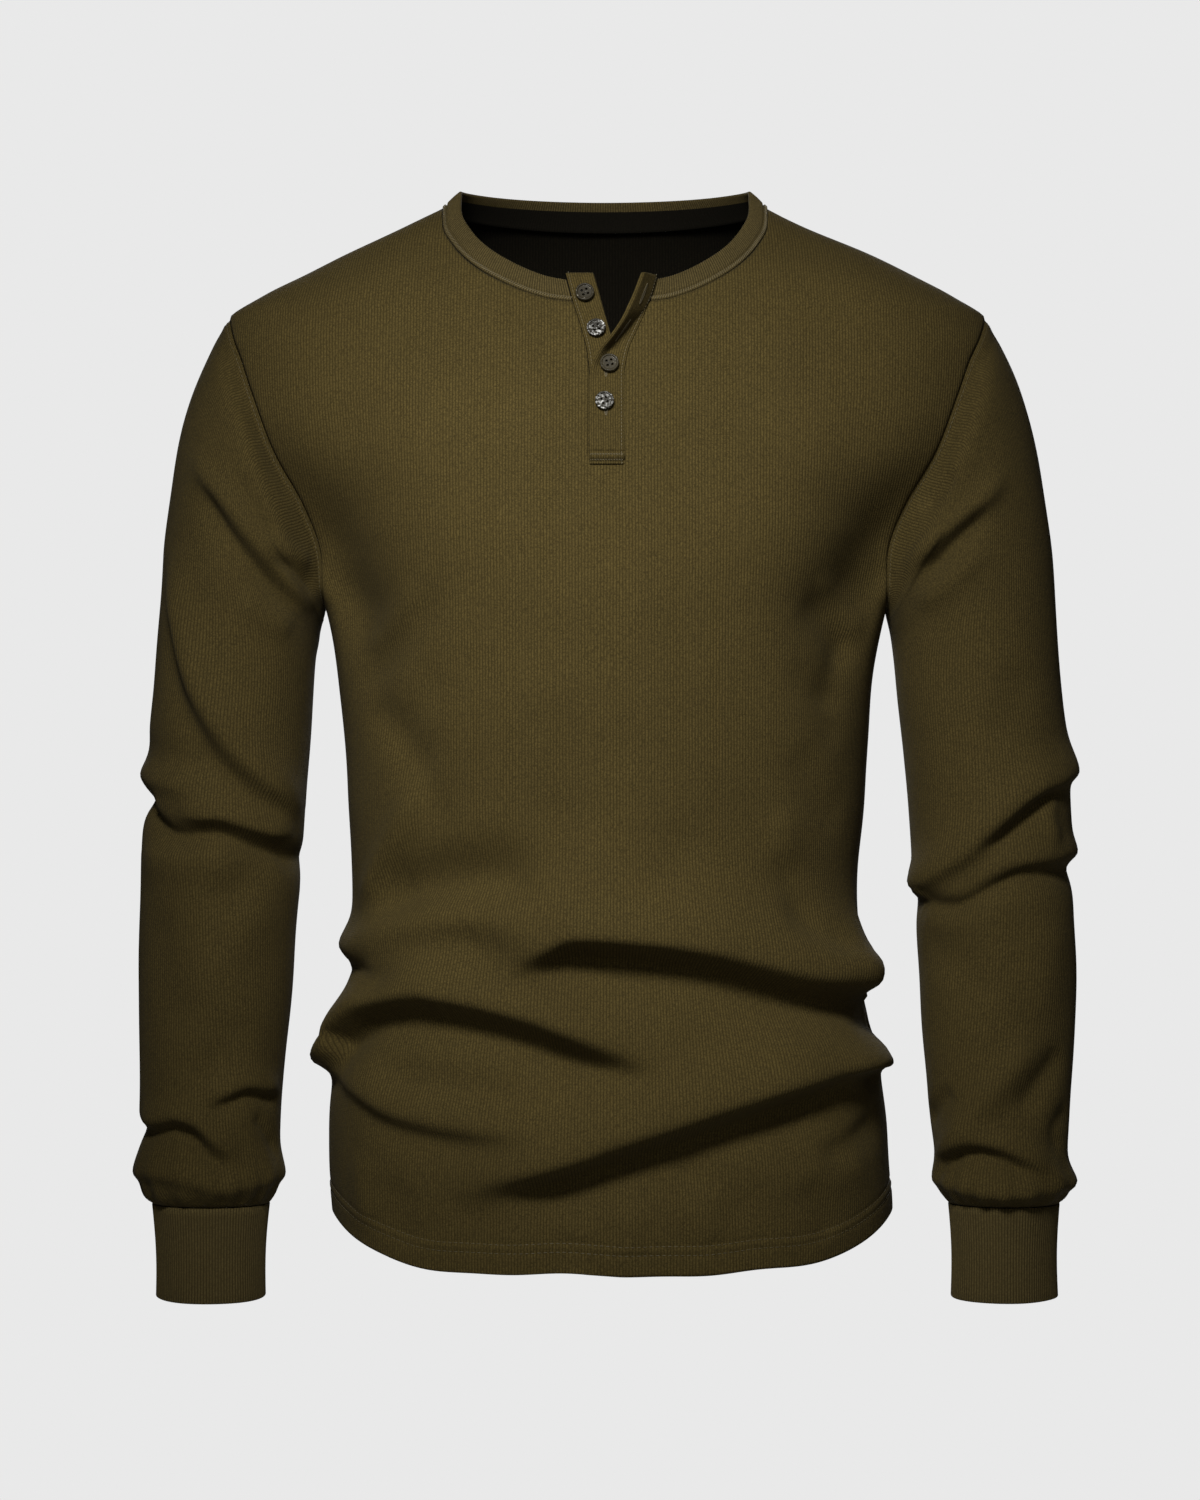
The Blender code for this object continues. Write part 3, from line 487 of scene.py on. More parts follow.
def horn(name, base, streakAndHighlight, amount, seed):  # a polished, smoky button with pale streaks, which on the brighter buttons also serve as painted highlight
    t = Tree(name)
    place = t.node("TexCoord").outputs["Object"]
    turn, stretch = (0.3, 0.2, 0.6 + seed), (480, 110, 900)
    turned = t.node("Mapping", {"Vector": place, "Rotation": turn, "Scale": stretch})
    streaks = t.noise(turned.outputs[0], 1.0, 5.0, 0.7)
    cloud = t.noise(place, 420.0, 3.0)
    mixed = t.math("ADD", t.math("MULTIPLY", streaks, 0.75), t.math("MULTIPLY", cloud, 0.25))
    share = t.span(mixed, 0.62 - amount, 0.70 - amount / 2)
    t.put(t.shader.inputs["Base Color"], t.mix(share, base + (1,), streakAndHighlight + (1,)))
    t.put(t.shader.inputs["Roughness"], t.span(streaks, 0.3, 0.7, 0.42, 0.6))
    bump = t.node("Bump", {"Height": streaks, "Distance": 0.12 * mm})
    t.put(t.shader.inputs["Normal"], bump.outputs["Normal"])
    t.put(t.shader.inputs["Specular IOR Level"], 0.12)
    t.put(t.shader.inputs["Coat Weight"], 0.03)
    t.put(t.shader.inputs["Coat Roughness"], 0.1)
    return t.material


olive = (0.074, 0.053, 0.0155)
bodyKnit = knit("bodyKnit", tuple(1.04 * c for c in olive), pitch=1.95, depth=0.26, valleyShade=0.5,
                speckle=0.46)
# the sleeves: the body's knit painted darker as shade, where the sleeves turn away from the light
sleeveKnitPaintedShade = knit("sleeveKnitPaintedShade", tuple(0.9 * c for c in olive), pitch=1.95, depth=0.26, valleyShade=0.5,
                  speckle=0.46)
# the inside of the cloth: the outer knit painted nearly black as shade, for the shadowed inside of the shirt
innerKnitPaintedShade = knit("innerKnitPaintedShade", (0.007, 0.0055, 0.0026), pitch=1.95, depth=0.34, valleyShade=0.6, speckle=0.5)
placketKnit = knit("placketKnit", olive, pitch=1.5, depth=0.26, valleyShade=0.48, speckle=0.42)
# the inside of the neckband: its knit painted nearly black as shade, to merge with the shadowed inside of the
# shirt
innerTrimPaintedShade = knit("innerTrimPaintedShade", (0.006, 0.0048, 0.0026), pitch=0.65, depth=0.08, valleyShade=0.7, speckle=0.3,
                 course=0.9)
bandKnit = knit("bandKnit", (0.088, 0.065, 0.023), pitch=1.75, depth=0.12, valleyShade=0.3, speckle=0.3,
                course=0.9, stray=0.0)
cuffKnit = knit("cuffKnit", (0.092, 0.068, 0.024), pitch=1.95, depth=0.12, valleyShade=0.4, speckle=0.3,
                course=0.9, stray=0.0)
seamThread = thread("seamThread", (0.105, 0.083, 0.036))
brightThread = thread("brightThread", (0.125, 0.098, 0.042))
darkThread = thread("darkThread", (0.03, 0.024, 0.014))

# folds of the body: a point is (left of centre, drop) in front, or (left, towards the back, drop)

bodyFolds = [
    # the deep overhanging fold across the waist
    dict(path=[(-72, 473), (-52, 461), (-34, 449), (-18, 443), (19, 445), (58, 451), (88, 459), (117, 468),
               (142, 472), (162, 475), (178, -10, 474)],
         above=34, below=13, height=19, hang=8, fade=0.16, start=0.1, end=0.0),
    dict(path=[(-50, 475), (-20, 465), (19, 467), (58, 473), (88, 482), (117, 490), (150, 495),
               (172, -20, 494)],
         above=9, below=25, height=-10.5, fade=0.2, end=0.5),
    # the fold from the wearer's right hip down to the middle
    dict(path=[(-140, 60, 534), (-178, 0, 529), (-168, 512), (-150, 494), (-133, 486), (-113, 482),
               (-94, 484), (-69, 489), (-40, 497), (-15, 507), (9, 517), (29, 524), (50, 530)],
         above=20, below=11, height=16, hang=5, fade=0.24, start=-0.2, end=0.05),
    dict(path=[(-170, -30, 532), (-164, 523), (-157, 514), (-148, 506), (-133, 502), (-113, 503),
               (-89, 506), (-64, 511), (-40, 519), (-15, 527), (9, 533), (34, 538)],
         above=8, below=18, height=-8, fade=0.2, start=0.4),
    # the long rising fold from the middle of the hem to the wearer's left hip
    dict(path=[(-98, 610), (-89, 604), (-64, 594), (-40, 586), (-15, 578), (9, 569), (34, 561), (58, 553),
               (88, 544), (117, 536), (147, 529), (174, 525), (178, 30, 528)],
         above=26, below=12, height=17, hang=6, fade=0.24, end=-0.1),
    dict(path=[(-70, 618), (-40, 606), (-15, 598), (9, 590), (34, 583), (58, 575), (88, 564), (117, 553),
               (147, 545)],
         above=9, below=22, height=-9, fade=0.25),
    # under the hip on the wearer's right
    dict(path=[(-176, -10, 532), (-165, 539), (-148, 549), (-133, 557), (-113, 562), (-89, 565),
               (-59, 566), (-35, 566)],
         above=16, below=8, height=6, hang=1.5, fade=0.3, start=0.5),
    dict(path=[(-160, 553), (-140, 566), (-113, 574), (-89, 577), (-59, 576), (-30, 572)],
         above=6, below=12, height=-2.5),
    dict(path=[(-146, 524), (-122, 538), (-88, 543), (-60, 548), (-34, 556)],
         above=12, below=10, height=-2.6),
    # pocket at the wearer's left hip
    dict(path=[(134, 530), (150, 527), (166, 527), (182, 0, 532)], above=10, below=5, height=5, hang=3),
    dict(path=[(124, 546), (136, 540), (152, 534), (164, 537), (176, 541)],
         above=5, below=9, height=-5, power=1.7),
    dict(path=[(130, 587), (151, 581), (173, 564)], above=7, below=13, height=-3.5),
    dict(path=[(112, 600), (140, 597), (165, 588)], above=16, below=14, height=2.4),
    # bulge at the wearer's right waist and the hollow above it
    dict(path=[(-150, 60, 462), (-172, 10, 458), (-158, 458), (-123, 444), (-89, 438), (-60, 437),
               (-35, 432)],
         above=13, below=15, height=8.5, hang=2.5, fade=0.3, start=0.4),
    dict(path=[(-146, 432), (-113, 421), (-75, 415), (-34, 416)], above=20, below=11, height=-10),
    dict(path=[(-157, 436), (-140, 405), (-126, 378), (-112, 352)], above=10, below=10, height=4.2),
    dict(path=[(-128, 330), (-118, 352), (-104, 372), (-92, 385)], above=14, below=14, height=-2),
    dict(path=[(-170, 10, 470), (-157, 472), (-140, 476), (-118, 470)],
         above=8, below=9, height=-7, power=1.5, start=0.6),
    # wearer's left waist
    dict(path=[(111, 446), (133, 458), (150, 466), (168, 468), (176, 20, 464)],
         above=9, below=10, height=5, start=0.2, end=0.4),
    dict(path=[(106, 396), (113, 424), (127, 448), (150, 461)], above=13, below=12, height=-5.5),
    dict(path=[(108, 370), (111, 400), (108, 440)], above=14, below=14, height=2.6),
    dict(path=[(120, 330), (132, 362), (150, 384)], above=14, below=14, height=-2),
    dict(path=[(168, -20, 500), (150, 506), (120, 512), (88, 514)], above=15, below=15, height=3),
    dict(path=[(178, 10, 512), (170, 505), (150, 508)], above=7, below=8, height=-3.4),
    # the hollows between the chest and the arms
    dict(path=[(-196, 146), (-184, 178), (-168, 212), (-154, 246), (-140, 282), (-128, 316)],
         above=24, below=22, height=-6, fade=0.4, start=0.0, end=0.0),
    dict(path=[(200, 146), (188, 176), (170, 208), (150, 236), (130, 262), (114, 288)],
         above=26, below=24, height=-7, fade=0.4, start=0.0, end=0.0),
    dict(path=[(-150, 300), (-134, 322), (-116, 340), (-104, 352)], above=17, below=15, height=-4),
    dict(path=[(158, 262), (146, 286), (140, 316)], above=16, below=14, height=-4),
    # soft drags below the arms
    dict(path=[(-100, 236), (-120, 262), (-142, 284), (-158, 300)], above=11, below=11, height=-2.6),
    dict(path=[(-112, 232), (-132, 256), (-152, 276)], above=9, below=9, height=2.4),
    dict(path=[(-96, 284), (-118, 310), (-138, 336)], above=12, below=12, height=-2),
    dict(path=[(124, 240), (138, 258), (156, 284)], above=11, below=11, height=-2.6),
    dict(path=[(134, 226), (150, 246), (166, 262)], above=9, below=9, height=2.4),
    dict(path=[(112, 282), (134, 306), (150, 336)], above=13, below=13, height=-2),
    dict(path=[(-170, 120), (-150, 160), (-138, 200)], above=26, below=26, height=-2.4),
    dict(path=[(170, 120), (152, 160), (140, 200)], above=26, below=26, height=-2.4),
    # middle of the front
    dict(path=[(-40, 300), (-30, 350), (-34, 392)], above=24, below=24, height=-1.6),
    dict(path=[(0, 340), (8, 380), (-4, 420)], above=22, below=22, height=1.8),
    dict(path=[(28, 420), (40, 408), (52, 380)], above=16, below=16, height=-1.6),
    # below the rising fold
    dict(path=[(38, 590), (74, 606), (92, 630)], above=12, below=12, height=-2.8),
    dict(path=[(18, 610), (15, 646)], above=9, below=9, height=1.8),
    dict(path=[(-20, 630), (-24, 655)], above=12, below=12, height=-1.6),
    dict(path=[(60, 600), (66, 640)], above=10, below=10, height=1.6),
    dict(path=[(-130, 600), (-128, 625), (-120, 645)], above=14, below=14, height=-2),
    dict(path=[(-150, 585), (-152, 610), (-146, 632)], above=11, below=11, height=2),
    dict(path=[(120, 600), (132, 622), (140, 640)], above=13, below=13, height=-2),
    # across the back
    dict(path=[(-165, 30, 462), (-130, 70, 478), (-80, 98, 488), (-20, 104, 486), (40, 104, 470),
               (90, 98, 462), (150, 50, 452)],
         above=34, below=15, height=13, hang=5),
    dict(path=[(-120, 80, 500), (-70, 100, 506), (-10, 106, 502), (60, 104, 486)],
         above=9, below=18, height=-4),
    dict(path=[(-172, 20, 535), (-120, 90, 545), (-60, 108, 556), (0, 112, 566), (60, 110, 580),
               (110, 100, 590)],
         above=27, below=14, height=12, hang=5),
    dict(path=[(-100, 96, 566), (-40, 110, 578), (20, 112, 590), (80, 106, 602)],
         above=9, below=16, height=-4),
    dict(path=[(170, 30, 520), (130, 84, 528), (80, 104, 524), (40, 108, 516)],
         above=18, below=12, height=8, hang=3),
    dict(path=[(-150, 60, 420), (-100, 90, 430), (-50, 100, 446)], above=16, below=13, height=5, hang=2),
    dict(path=[(150, 55, 410), (100, 92, 420), (50, 100, 438)], above=16, below=13, height=5, hang=2),
    dict(path=[(-160, 70, 590), (-110, 100, 606), (-50, 114, 612)],
         above=14, below=10, height=4.5, hang=1.5),
    dict(path=[(150, 70, 618), (110, 100, 622), (60, 114, 634)], above=14, below=10, height=4.5, hang=1.5),
    dict(path=[(-140, 90, 230), (-110, 95, 262), (-84, 98, 286)], above=13, below=13, height=-3),
    dict(path=[(-152, 80, 224), (-126, 90, 252)], above=10, below=10, height=2.6),
    dict(path=[(140, 90, 230), (112, 95, 262), (88, 98, 284)], above=13, below=13, height=-3),
    dict(path=[(152, 80, 224), (126, 90, 252)], above=10, below=10, height=2.6),
    dict(path=[(-60, 104, 300), (-52, 100, 350), (-30, 98, 400)], above=24, below=24, height=-3),
    dict(path=[(60, 104, 300), (54, 100, 350), (36, 98, 396)], above=24, below=24, height=-3),
    dict(path=[(0, 110, 200), (0, 106, 300), (2, 100, 400)], above=26, below=26, height=-3.2),
    dict(path=[(-40, 112, 90), (0, 114, 100), (40, 112, 90)], above=18, below=20, height=-1.8),
    dict(path=[(-100, 100, 60), (-50, 100, 40), (0, 98, 34)], above=12, below=14, height=1.6),
    dict(path=[(100, 100, 60), (50, 100, 40), (0, 98, 34)], above=12, below=14, height=1.6),
    dict(path=[(20, 118, 620), (26, 118, 668)], above=12, below=12, height=2.2),
    dict(path=[(-60, 116, 630), (-56, 116, 668)], above=13, below=13, height=-2.2),
]


hollow = dict(depth=22, reach=42, rim=12, top=120, deepest=210, low=225, foot=335)


def armHollow(side, drop):  # the cloth falls back between the chest and the arm
    edge = readTable(armholeTable, "drop", "front", drop)
    down = smoothStep((drop - hollow["top"]) / (hollow["deepest"] - hollow["top"]))
    down = down * smoothStep((hollow["foot"] - drop) / (hollow["foot"] - hollow["low"]))
    inside = 1 - np.exp(-(((halfWidth(drop, side) - np.abs(side)) / hollow["rim"]) ** 2))
    return hollow["depth"] * down * inside * np.exp(-(((np.abs(side) - edge) / hollow["reach"]) ** 2))


def clothPoints(side, drop, face):
    half = halfWidth(drop, side)
    side = np.clip(side, -half, half)
    flat = torso(side, drop, face)
    out = torsoNormals(side, drop, face)
    points = raiseFolds(flat, out, bodyFolds, bodyCloud)
    points = points + out * unevenness(flat, 0.75, seed=4)[..., None]
    if face < 0:
        points = points - forward * armHollow(side, drop)[..., None]
    return points, out


def edgeRun(points, axis, fromEnd=False):  # distance along the cloth from one edge of a grid
    steps = np.linalg.norm(np.diff(points, axis=axis), axis=-1)
    if fromEnd:
        steps = np.flip(steps, axis=axis)
    run = np.cumsum(steps, axis=axis)
    zero = np.zeros_like(np.take(run, [0], axis=axis))
    run = np.concatenate([zero, run], axis=axis)
    return np.flip(run, axis=axis) if fromEnd else run


def gridNormals(points, closed=False):
    if closed:
        across = np.roll(points, -1, axis=1) - np.roll(points, 1, axis=1)
    else:
        across = np.gradient(points, axis=1)
    down = np.gradient(points, axis=0)
    normal = np.cross(across, down)
    return normal / np.maximum(np.linalg.norm(normal, axis=-1, keepdims=True), 1e-9)


def lineAt(points, normals, run, value, axis=0):  # the line on a grid a given distance from an edge
    if axis == 1:
        points, normals, run = points.swapaxes(0, 1), normals.swapaxes(0, 1), run.T
    found, facing = [], []
    for i in range(points.shape[1]):
        order = np.argsort(run[:, i])
        if run[order[-1], i] < value:
            continue
        found.append([np.interp(value, run[order, i], points[order, i, k]) for k in range(3)])
        facing.append([np.interp(value, run[order, i], normals[order, i, k]) for k in range(3)])
    return np.array(found), np.array(facing)


# a seam draws the cloth down in a groove, with a low ridge beside it over the turned edge
seam = dict(depth=0.9, width=1.4, ridge=0.22, ridgeAt=5.0, ridgeWidth=2.6)


def seamDip(run):
    groove = -seam["depth"] * np.exp(-((run / seam["width"]) ** 2))
    return groove + seam["ridge"] * np.exp(-(((run - seam["ridgeAt"]) / seam["ridgeWidth"]) ** 2))


# the hem is turned once and held by two rows, so it is thicker below them and dips along each row
hem = dict(rows=(13.0, 18.6), dip=0.5, dipWidth=1.1, thicker=0.5, stitch=2.9, space=0.9)


def hemShape(run):
    low, high = hem["rows"]
    shape = hem["thicker"] * smoothStep((high + 1 - run) / 3)
    for row in hem["rows"]:
        shape = shape - hem["dip"] * np.exp(-(((run - row) / hem["dipWidth"]) ** 2))
    return shape


panel = dict(
    armholeRows=70,
    waistRows=58,
    skirtRows=58,
    hemRows=20,
    hemBand=24,
    shoulderColumns=30,
    neckColumns=46,
    slitRows=34,
    middleColumns=8,
)


def armholeEdge(side, face):
    steps = np.linspace(0, 1, panel["armholeRows"] + 1)
    packed = 0.5 * steps + 0.25 * (1 - np.cos(math.pi * steps))
    drop = form["shoulderDrop"] + (form["armpitDrop"] - form["shoulderDrop"]) * packed
    out = readTable(armholeTable, "drop", "front" if face < 0 else "back", drop)
    out = out - (out[0] - halfWidth(drop[0], side)) * (1 - smoothStep((drop - drop[0]) / 40))
    out = np.minimum(out, halfWidth(drop, side))
    out[[0, -1]] = halfWidth(drop[[0, -1]], side)
    return np.stack([side * out, drop], axis=-1)


def skirtDrops(foot):
    waist = np.linspace(form["armpitDrop"], form["waistDrop"], panel["waistRows"] + 1)[1:]
    skirt = np.linspace(form["waistDrop"], foot - panel["hemBand"], panel["skirtRows"] + 1)[1:]
    band = np.linspace(foot - panel["hemBand"], foot, panel["hemRows"] + 1)[1:]
    return waist, np.concatenate([skirt, band])


def sideEdge(side):
    drop = np.concatenate(skirtDrops(form["sideHemDrop"]))
    return np.stack([side * halfWidth(drop, side), drop], axis=-1)


def shoulderEdge(side):
    drop = np.linspace(form["shoulderDrop"], form["neckPointDrop"], panel["shoulderColumns"] + 1)
    return np.stack([side * halfWidth(drop, side), drop], axis=-1)


def frontNeckEdge(side, foot, columns):
    rows = [dict(at=i / (len(necklineTable) - 1), **row) for i, row in enumerate(necklineTable)]
    at = np.linspace(0, 1, columns + 1)
    out = readTable(rows, "at", "out", at)
    out = out[0] - (out[0] - out) * (out[0] - abs(foot)) / (out[0] - out[-1])
    out[0] = halfWidth(form["neckPointDrop"], side)
    return np.stack([side * out, readTable(rows, "at", "drop", at)], axis=-1)


def backNeckEdge(columns):
    turn = np.linspace(-math.pi / 2, math.pi / 2, columns + 1)
    side = np.sin(turn) * halfWidth(form["neckPointDrop"], turn)
    rise = form["backNeckDrop"] - form["neckPointDrop"]
    return np.stack([side, form["neckPointDrop"] + rise * (2 * np.cos(turn) ** 2 - np.cos(turn))], axis=-1)


def hemEdge(side, middle):
    ratio = np.abs(side) / halfWidth(form["sideHemDrop"], side)
    wave = 1.1 * np.sin(side / 21) + 0.5 * np.sin(side / 9.5 + 1)
    drop = middle - (middle - form["sideHemDrop"]) * ratio**5.4 + wave * (1 - ratio**6)
    return np.stack([side, drop], axis=-1)


def patch(left, right, top, bottom, u):
    v = np.linspace(0, 1, len(left))[:, None, None]
    u = np.asarray(u)[None, :, None]
    across = (1 - u) * left[:, None] + u * right[:, None]
    fromTop = top[None] - (1 - u) * top[0] - u * top[-1]
    fromBottom = bottom[None] - (1 - u) * bottom[0] - u * bottom[-1]
    return across + fromTop * (1 - v) ** 3 + fromBottom * v**3


def weaveOf(grid, face):
    return np.stack([girthAt(grid[..., 0], grid[..., 1], face), -grid[..., 1]], axis=-1)


print("front and back panels")


def frontGrids():
    grids = []
    for side, column in ((-1, "stand"), (1, "edge")):
        slitTop = necklineTable[-1]["drop"]
        neck = frontNeckEdge(side, float(readTable(slitTable, "drop", column, slitTop)),
                             panel["neckColumns"])
        top = np.vstack([shoulderEdge(side), neck[1:]])
        outer = np.vstack([armholeEdge(side, -1), sideEdge(side)])
        slitShade = np.linspace(slitTop, form["slitFootDrop"], panel["slitRows"] + 1)
        chestRows = panel["armholeRows"] + panel["waistRows"] - panel["slitRows"]
        chest = np.linspace(form["slitFootDrop"], form["waistDrop"], chestRows + 1)[1:]
        drop = np.concatenate([slitShade, chest, skirtDrops(form["frontHemDrop"])[1]])
        inner = np.stack([readTable(slitTable, "drop", column, drop), drop], axis=-1)
        turn = np.linspace(math.pi / 2, 0, len(top))
        hemSide = inner[-1, 0] + (outer[-1, 0] - inner[-1, 0]) * np.sin(turn)
        foot = hemEdge(hemSide, form["frontHemDrop"])
        foot[0] = outer[-1]
        inner[-1] = foot[-1]
        grids.append(patch(outer, inner, top, foot, 1 - np.sin(turn)))
    across = np.linspace(0, 1, panel["middleColumns"] + 1)[None, :, None]
    start = panel["slitRows"]
    grids.append(grids[0][start:, -1:] * (1 - across) + grids[1][start:, -1:] * across)
    return grids


def makeFront():
    grids = frontGrids()
    points, faces, uvs, cloth = [], [], [], []
    for number, grid in enumerate(grids):
        spots, out = clothPoints(grid[..., 0], grid[..., 1], -1)
        shape = hemShape(edgeRun(spots, 0, fromEnd=True))
        if number < 2:
            shape = shape + seamDip(edgeRun(spots, 1))
            shape = shape + seamDip(edgeRun(spots, 0)) * smoothStep(edgeRun(spots, 1) / 6)
        spots = spots + out * shape[..., None] + forward * form["seamGap"] / 2
        cloth.append((spots, out))
        faces += gridFaces(spots.shape[0], spots.shape[1], sum(len(p) for p in points))
        points.append(spots.reshape(-1, 3))
        uvs.append(gridUvs(weaveOf(grid, -1)))
    thing = newMesh("frontPanel", np.vstack(points), faces, np.vstack(uvs), torsoAxis)
    paint(thing, bodyKnit)
    addWall(thing, form["wall"], innerKnitPaintedShade)
    return thing, cloth


def makeBack():
    left, right = (np.vstack([armholeEdge(side, 1), sideEdge(side)]) for side in (-1, 1))
    neck = backNeckEdge(2 * panel["neckColumns"])
    top = np.vstack([shoulderEdge(-1), neck[1:-1], shoulderEdge(1)[::-1]])
    turn = np.linspace(-math.pi / 2, math.pi / 2, len(top))
    foot = hemEdge(np.sin(turn) * halfWidth(form["sideHemDrop"], turn), form["backHemDrop"])
    foot[0], foot[-1] = left[-1], right[-1]
    grid = patch(left, right, top, foot, (1 + np.sin(turn)) / 2)
    spots, out = clothPoints(grid[..., 0], grid[..., 1], 1)
    shape = hemShape(edgeRun(spots, 0, fromEnd=True))
    shape = shape + seamDip(edgeRun(spots, 1)) + seamDip(edgeRun(spots, 1, fromEnd=True))
    sides = np.minimum(edgeRun(spots, 1), edgeRun(spots, 1, fromEnd=True))
    shape = shape + seamDip(edgeRun(spots, 0)) * smoothStep(sides / 6)
    spots = spots + out * shape[..., None] - forward * form["seamGap"] / 2
    faces = gridFaces(*spots.shape[:2])
    thing = newMesh("backPanel", spots.reshape(-1, 3), faces, gridUvs(weaveOf(grid, 1)), torsoAxis)
    paint(thing, bodyKnit)
    addWall(thing, form["wall"], innerKnitPaintedShade)
    return thing, (spots, out)


frontPanel, frontCloth = makeFront()
backPanel, backCloth = makeBack()

print("sleeves and cuffs")

# rings: outer and inner end seen from the front, middle and half depth seen from the side
rightSleeve = dict(
    name="rightSleeve",
    side=-1,
    rows=[
        dict(out=252, outDrop=80, inn=180, innDrop=252, mid=2, deep=63),
        dict(out=265, outDrop=110, inn=181, innDrop=256, mid=2, deep=63),
        dict(out=275, outDrop=152, inn=182, innDrop=261, mid=1, deep=61),
        dict(out=281, outDrop=196, inn=183, innDrop=268, mid=1, deep=59),
        dict(out=284, outDrop=240, inn=185, innDrop=279, mid=0, deep=58),
        dict(out=288, outDrop=290, inn=187, innDrop=303, mid=-1, deep=57),
        dict(out=292, outDrop=334, inn=189, innDrop=338, mid=-3, deep=56),
        dict(out=295, outDrop=384, inn=192, innDrop=384, mid=-7, deep=54),
        dict(out=296, outDrop=440, inn=196, innDrop=440, mid=-13, deep=51),
        dict(out=296, outDrop=500, inn=200, innDrop=500, mid=-20, deep=47),
        dict(out=295, outDrop=556, inn=205, innDrop=556, mid=-27, deep=44),
        dict(out=294, outDrop=596, inn=206, innDrop=594, mid=-32, deep=43),
        dict(out=292, outDrop=614, inn=207, innDrop=612, mid=-34, deep=42),
        dict(out=286, outDrop=621.6, inn=212, innDrop=621.6, mid=-35, deep=35),
    ],
    folds=[
        # folds that fan from the armpit
        dict(path=[(-262, 150), (-247, 170), (-228, 195), (-210, 219), (-193, 238), (-182, 247)],
             above=9, below=7, height=5.5),
        dict(path=[(-258, 164), (-250, 178), (-236, 200), (-221, 218), (-206, 234), (-192, 248)],
             above=6, below=10, height=-6.5, power=1.6),
        dict(path=[(-214, 200), (-200, 211), (-186, 218)], above=6, below=5, height=3.2),
        dict(path=[(-212, 214), (-198, 222), (-182, 234)], above=5, below=7, height=-4, power=1.6),
        dict(path=[(-232, 240), (-214, 252), (-196, 262)], above=9, below=9, height=2.6),
        # the long fold from the outside of the arm to the inside of the elbow
        dict(path=[(-277, 212), (-270, 244), (-262, 282), (-254, 304), (-240, 326), (-227, 342),
                   (-209, 359), (-191, 374)],
             above=15, below=9, height=8, hang=2, fade=0.25),
        dict(path=[(-278, 240), (-272, 280), (-262, 308), (-248, 334), (-232, 352), (-212, 368),
                   (-198, 382)],
             above=8, below=14, height=-4),
        dict(path=[(-296, 10, 338), (-288, 341), (-262, 344), (-238, 345)], above=12, below=9, height=-3.2),
        dict(path=[(-288, 20, 348), (-290, 350), (-270, 356), (-250, 364)],
             above=11, below=9, height=4.5, hang=2),
        # the deep crease at the elbow
        dict(path=[(-290, 30, 366), (-293, 370), (-284, 382), (-270, 389), (-243, 388), (-222, 395),
                   (-200, 402), (-190, 0, 404)],
             above=6, below=9, height=-8, power=1.5, start=0.4, end=0.3),
        dict(path=[(-272, 376), (-256, 375), (-240, 375), (-216, 383), (-196, 388)],
             above=9, below=6, height=5, hang=3),
        dict(path=[(-294, 402), (-270, 404), (-246, 402), (-222, 410)], above=7, below=16, height=4),
        dict(path=[(-206, 402), (-226, 420), (-250, 440)], above=13, below=13, height=-2.2),
        dict(path=[(-208, 430), (-240, 470), (-262, 500)], above=14, below=14, height=2),
        dict(path=[(-284, 430), (-276, 480), (-270, 520)], above=16, below=16, height=-2),
        # bunched above the cuff
        dict(path=[(-226, 500), (-240, 526), (-262, 548)], above=12, below=12, height=-2.4),
        dict(path=[(-252, 556), (-236, 549), (-222, 545), (-204, 550)],
             above=8, below=5, height=4, hang=1.5),
        dict(path=[(-250, 563), (-237, 556), (-223, 551), (-205, 556)],
             above=4, below=7, height=-4, power=1.5),
        dict(path=[(-294, 566), (-284, 568), (-268, 564), (-254, 568), (-242, 580), (-228, 591)],
             above=9, below=5, height=5, hang=2),
        dict(path=[(-296, 0, 574), (-287, 575), (-270, 572), (-257, 577), (-246, 589), (-228, 600)],
             above=4, below=8, height=-5.5, power=1.5),
        dict(path=[(-218, 562), (-211, 576), (-205, 589)], above=5, below=6, height=-3.6, power=1.5),
        dict(path=[(-296, 20, 602), (-292, 598), (-266, 600), (-240, 606), (-212, 602), (-200, 0, 598)],
             above=10, below=7, height=4.5, hang=3, start=0.5, end=0.5),
        # behind
        dict(path=[(-270, 50, 170), (-236, 62, 210), (-200, 50, 246)], above=12, below=9, height=-5),
        dict(path=[(-262, 60, 150), (-226, 66, 190), (-192, 50, 228)], above=10, below=9, height=4),
        dict(path=[(-290, 30, 300), (-250, 58, 330), (-206, 50, 352)],
             above=14, below=10, height=6, hang=2),
        dict(path=[(-294, 30, 356), (-250, 52, 366), (-200, 40, 380)], above=7, below=10, height=-5),
        dict(path=[(-294, 30, 386), (-250, 46, 396), (-200, 40, 410)], above=10, below=9, height=5, hang=2),
        dict(path=[(-290, 20, 470), (-250, 30, 500), (-210, 20, 516)], above=14, below=12, height=-2.4),
        dict(path=[(-292, 0, 556), (-250, 16, 566), (-206, 0, 560)], above=9, below=8, height=4, hang=2),
        dict(path=[(-292, 0, 580), (-250, 12, 586), (-206, 0, 578)], above=6, below=8, height=-4),
    ],
)
